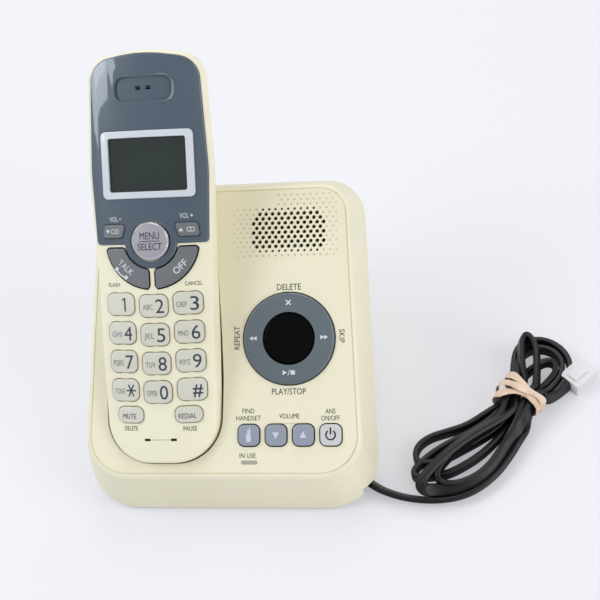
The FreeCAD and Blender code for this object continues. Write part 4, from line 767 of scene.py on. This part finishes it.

# %% [markdown]
# ## Gaps, beads and dimples
#
# Round each button there is a narrow gap, in which hardly any light is left. The solids
# have it, but only as wide as the keys need to move, and it looks wider and darker from
# above. Thin dark closed strips laid along an outline draw it as painted shade, and the same
# strips with a taller profile make the raised bead of the earpiece. A strip's profile is a
# list of distances outside the outline and heights, and the outline is extruded from each to the
# next.

# %% Strips along an outline
def rounded(corners, steps=6):
    """An outline with rounded corners, from (across, up, radius) of each corner in turn."""
    outline = []
    for index, (x, y, radius) in enumerate(corners):
        here = Vector((x, y))
        before = (Vector(corners[index - 1][:2]) - here).normalized()
        after = (Vector(corners[(index + 1) % len(corners)][:2]) - here).normalized()
        opening = before.angle(after)
        reach = radius / math.tan(opening / 2)
        centre = here + (before + after).normalized() * radius / math.sin(opening / 2)
        start, end = here + before * reach - centre, here + after * reach - centre
        for step in range(steps + 1):
            spoke = start.lerp(end, step / steps).normalized() * radius
            outline.append(tuple(centre + spoke))
    return outline


def rounded_box(width, height, corner, across=0.0, up=0.0):
    """The outline of a rectangle with rounded corners."""
    return rounded([(across + side * width / 2, up + end * height / 2, corner)
                    for side, end in ((-1, -1), (1, -1), (1, 1), (-1, 1))])


def grown(outline, distance):
    """The outline moved outwards everywhere by a distance."""
    moved = []
    for index, point in enumerate(outline):
        along = Vector(outline[(index + 1) % len(outline)]) - Vector(outline[index - 1])
        outward = Vector((along.y, -along.x)).normalized()
        moved.append(tuple(Vector(point) + outward * distance))
    return moved


def strip(outline, profile):
    """A closed strip along an outline that runs anticlockwise."""
    work = bmesh.new()
    skin_rings(work, [[(x, y, height) for x, y in grown(outline, distance)]
                        for distance, height in profile])
    shape = bpy.data.meshes.new("strip")
    work.to_mesh(shape)
    work.free()
    return shape


def gap_profile(width):
    """A thin flat strip just outside an outline."""
    return [(0.03, -0.05), (0.03, 0.03), (width, 0.03), (width, -0.05)]


print("points round a button:", len(rounded_box(8.2, 8.2, 2.35)))

# %% [markdown]
# The four small buttons get the darkest painted shade in their gaps. The strips round the
# dialling keys are narrow and brown painted shade, because the pale shell and the pale keys
# throw light into those gaps. The middle key of each row sits a little lower than its
# neighbours, so that the rows bend in a smile.

# %% Painted shade in the gaps round the buttons and keys
BUTTON_GAP, KEY_GAP, CURVED_KEY_GAP = 0.5, 0.4, 0.62
# Dark strips round the four buttons: painted shade in their gaps.
button_gap_shade = [(strip(rounded_box(8.2, 8.2, 2.35), gap_profile(BUTTON_GAP)),
                RING_ACROSS + (number - 1.5) * BUTTON_PITCH, -BUTTON_DOWN, 0, 0)
               for number in range(4)]
print_piece("button_gap_shade", "gap_shade", "base", PANEL, button_gap_shade)

key_boxes = [(11.1, 8.6, 2.6, column * KEY_PITCH,
              KEY_FIRST_UP - line * KEY_ROW_PITCH - (0 if column else KEY_DROP))
             for line in range(4) for column in (-1, 0, 1)]
key_boxes += [(10.4, 6.3, 2.6, side * LOW_KEY_ACROSS, LOW_KEY_UP) for side in (-1, 1)]
# Brown strips round the dialling keys: painted shade, warmed by light thrown in from the pale
# parts.
print_piece("key_gaps", "brown_shade", "handset", HANDSET,
            [(strip(rounded_box(width, height, corner), gap_profile(KEY_GAP)), across, up, 0, 0)
             for width, height, corner, across, up in key_boxes])
print("gaps:", len(button_gap_shade), "buttons and", len(key_boxes), "keys")

# %% [markdown]
# The curved keys' outlines are made of an outer and an inner arc round the menu key, and
# the left one is the right one mirrored. A mirrored outline runs the other way round, so
# its points are reversed again: the strip needs to know which side is outside.

# %% Painted shade in the curved keys' gaps, and the menu key's rim
def curved_key_outline(side):
    """The outline of the talk (-1) or the off (+1) key, anticlockwise."""
    outer = arc_points(18.4, -83.5, -10.2, 14)
    inner = arc_points(11.1, -76.5, -19.5, 10)
    corners = [(1.9, -17.9), *outer, (17.7, -2.85), (17.1, -2.6), (11.6, -2.6), (10.9, -3.0),
               *reversed(inner), (1.75, -11.2), (1.4, -11.8), (1.4, -17.3)]
    points = [(side * x, y) for x, y in corners]
    return points if side > 0 else points[::-1]


def arc_points(radius, first, last, steps):
    """Points on an arc round the middle, between two angles in degrees."""
    turns = [math.radians(first + (last - first) * step / steps) for step in range(steps + 1)]
    return [(radius * math.cos(turn), radius * math.sin(turn)) for turn in turns]


# Dark strips round the curved keys: painted shade in their gaps.
print_piece("curved_key_gap_shade", "gap_shade", "handset", HANDSET,
            [(strip(curved_key_outline(side), gap_profile(CURVED_KEY_GAP)), 0, MENU_UP, 0, 0)
             for side in (-1, 1)])
print_piece("menu_key_rim", "chrome", "menu_key", HANDSET,
            [(strip(arc_points(7.3, 0, 350, 35),
                    [(-0.9, 1.4), (0.04, 0.5), (0.04, 1.15), (-0.4, 1.53), (-0.9, 1.53)]),
              0, MENU_UP, 0, 0)])
print("points round a curved key:", len(curved_key_outline(1)))

# %% [markdown]
# The earpiece lies in a shallow oval with a raised bead round it. Dark plates in its slots
# and in those of the microphone are painted shade, for the dark inside of the openings. A
# fine groove joins the two microphone slots, drawn as a darker cream line of painted shade.
# A long plate can't bend over the arched face, so the line is a row of short ones end to end.

# %% Earpiece and microphone
EAR_UP = 143.36
SLOT_UP = 144.1
print_piece("ear_bead", "slate_trim", "handset", HANDSET,
            [(strip(rounded_box(23.2, 10.3, 3.9),
                    [(-0.55, 0.3), (0.55, 0.3), (0.45, 0.7), (0, 0.98), (-0.45, 0.7)]),
              0, EAR_UP, 0, 0)])
# Dark plates in the earpiece and microphone slots: painted shade.
print_piece("slot_shade", "gap_shade", "handset", HANDSET,
            [(flat_plates([(-1.2, 0.3), (-0.3, -0.6), (1.1, -0.5), (1.0, 0.4), (-0.3, 0.5)]),
              -2.2, SLOT_UP, -0.1, 0),
             (flat_plates([(1.2, 0.3), (0.3, 0.5), (-1.0, 0.4), (-1.1, -0.5), (0.3, -0.6)]),
              2.2, SLOT_UP, -0.1, 0),
             (flat_plates(box(2.3, 1.0, -5.3), box(2.3, 1.0, 5.3)), 0, 7.4, 0, 0)])
# A darker cream line along the microphone groove: painted shade.
print_piece("microphone_groove_shade", "seam_shade", "handset", HANDSET,
            [(flat_plates(*[box(1, 0.35, step - 3.5) for step in range(8)]), 0, 7.4, 0, 0)])
print("earpiece at", EAR_UP, "mm up the handset, its slots at", SLOT_UP)

# %% [markdown]
# Blind dimples carry the grille's pattern on round the holes and fade away. Cutting some
# hundred of them into the housing would cost many faces for marks less than 1 mm wide, so
# each is a small eight-sided plate of darker cream: painted shade for the hollow of the
# dimple. They shrink with their distance from the holes. The same darker cream draws the
# fine line between the word VOLUME and its two buttons.

# %% Painted shade of the dimples round the grille
GRILLE_COUNTS = [10, 11, 12, 11, 12, 11, 12, 11, 10, 9]
GRILLE_UP, GRILLE_PITCH, GRILLE_ROW = 42.3, 2.56, 1.86
dimple_shades = []
for line in range(-1, 13):
    up = GRILLE_UP + (line - 4) * GRILLE_ROW
    through = (GRILLE_COUNTS[line] - 1) / 2 * GRILLE_PITCH + 0.1 if 0 <= line < 10 else -1
    for step in range(-9, 9):
        across = (step + (0.5 if line % 2 == 0 else 0)) * GRILLE_PITCH
        beyond = max(abs(across) - 13, 0) + max(abs(line - 4.5) - 5, 0) * 0.9
        worded = line > 9 and across < -4
        if -22.5 < across < 20 and abs(across) > through and not worded:
            dimple_shades.append((flat_plates(arc_points(0.52 - 0.028 * beyond, 0, 315, 7)),
                            RING_ACROSS + across, up, 0, 0))
# Darker cream plates for the dimples: painted shade.
print_piece("grille_dimple_shades", "seam_shade", "base", PANEL, dimple_shades)
print_piece("volume_line", "seam_shade", "base", PANEL,
            [(flat_plates(box(14.2, 0.35)), RING_ACROSS - 0.8, -33.2, 0, 0)])
print("dimples:", len(dimple_shades))

# %% [markdown]
# ## Floor and light
#
# The object stands on a wide pale plane. To the camera a share of it shines like lit
# paper, which keeps the shadows on it light. Four square lamps stand for a studio: high on
# the left, high on the right, behind, and low in front for the walls. Large lamps give soft
# shadows; small ones would draw hard edges. A fifth, long lamp on the left is there for the
# gloss: its front edge is mirrored across the bezel.

# %% Floor and lamps
FLOOR_HALF = 3
PAPER_SHARE = 0.4
# Each square lamp: its place, its width in metres and its power in watts.
LAMPS = {
    "left_lamp": ((-0.9, 0.1, 1.1), 0.9, 6),
    "right_lamp": ((1.35, -0.25, 1.0), 0.9, 7),
    "back_lamp": ((0.1, 1.0, 1.1), 1.0, 6),
    "front_lamp": ((1.1, -0.95, 0.25), 0.9, 6.5),
}
LAMP_AIM = Vector((0.03, 0, 0.05))


def make_floor():
    """A wide pale plane just under the feet."""
    work = bmesh.new()
    bmesh.ops.create_grid(work, x_segments=1, y_segments=1, size=FLOOR_HALF)
    floor = mesh_piece("floor", work, smooth=False)
    made = bpy.data.materials.new("floor")
    made.use_nodes = True
    nodes, links = made.node_tree.nodes, made.node_tree.links
    shader = nodes["Principled BSDF"]
    shader.inputs["Base Color"].default_value = screen(228, 228, 233)
    shader.inputs["Roughness"].default_value = 0.6
    paper, look, mix = (nodes.new("ShaderNodeEmission"), nodes.new("ShaderNodeLightPath"),
                        nodes.new("ShaderNodeMixShader"))
    paper.inputs["Color"].default_value = screen(244, 244, 249)
    share = nodes.new("ShaderNodeMath")
    share.operation = "MULTIPLY"
    share.inputs[1].default_value = PAPER_SHARE
    links.new(look.outputs["Is Camera Ray"], share.inputs[0])
    links.new(share.outputs["Value"], mix.inputs["Fac"])
    links.new(shader.outputs["BSDF"], mix.inputs[1])
    links.new(paper.outputs["Emission"], mix.inputs[2])
    links.new(mix.outputs["Shader"], nodes["Material Output"].inputs["Surface"])
    floor.data.materials.append(made)


def make_lamp(name, place, size, power):
    """A soft square lamp aimed at the middle of the object."""
    data = bpy.data.lights.new(name, "AREA")
    data.size = size
    data.energy = power
    lamp = link(name, data)
    lamp.location = place
    aim = LAMP_AIM - Vector(place)
    lamp.rotation_euler = aim.to_track_quat("-Z", "Y").to_euler()


def make_gloss_lamp():
    """A long flat lamp on the left whose front edge is mirrored in the glossy bezel."""
    data = bpy.data.lights.new("gloss_lamp", "AREA")
    data.shape = "RECTANGLE"
    data.size, data.size_y = 1.3, 0.5
    data.energy = 11
    data.color = (0.86, 0.94, 1.0)
    lamp = link("gloss_lamp", data)
    lamp.location = (-1.487, -0.345, 1.1)
    lamp.rotation_euler = (0, 0, math.radians(8.6))


make_floor()
make_gloss_lamp()
for name, (place, size, power) in LAMPS.items():
    make_lamp(name, place, size, power)
print("lamps:", len(LAMPS) + 1)

# %% [markdown]
# The world fills in the shadows with an even grey. Where the camera looks straight at it,
# past the floor's edge, it is stronger, which makes the background pale without putting
# any more light on the object.

# %% World
WORLD_GREY = 0.54
SEEN_MORE = 0.42
world = bpy.data.worlds.new("studio")
world.use_nodes = True
sky = world.node_tree.nodes["Background"]
sky.inputs["Color"].default_value = screen(236, 238, 242)
seen = world.node_tree.nodes.new("ShaderNodeLightPath")
strength = world.node_tree.nodes.new("ShaderNodeMath")
strength.operation = "MULTIPLY_ADD"
strength.inputs[1].default_value = SEEN_MORE
strength.inputs[2].default_value = WORLD_GREY
world.node_tree.links.new(seen.outputs["Is Camera Ray"], strength.inputs[0])
world.node_tree.links.new(strength.outputs["Value"], sky.inputs["Strength"])
bpy.context.scene.world = world
print("world strength:", WORLD_GREY, "and", round(WORLD_GREY + SEEN_MORE, 2), "when seen")
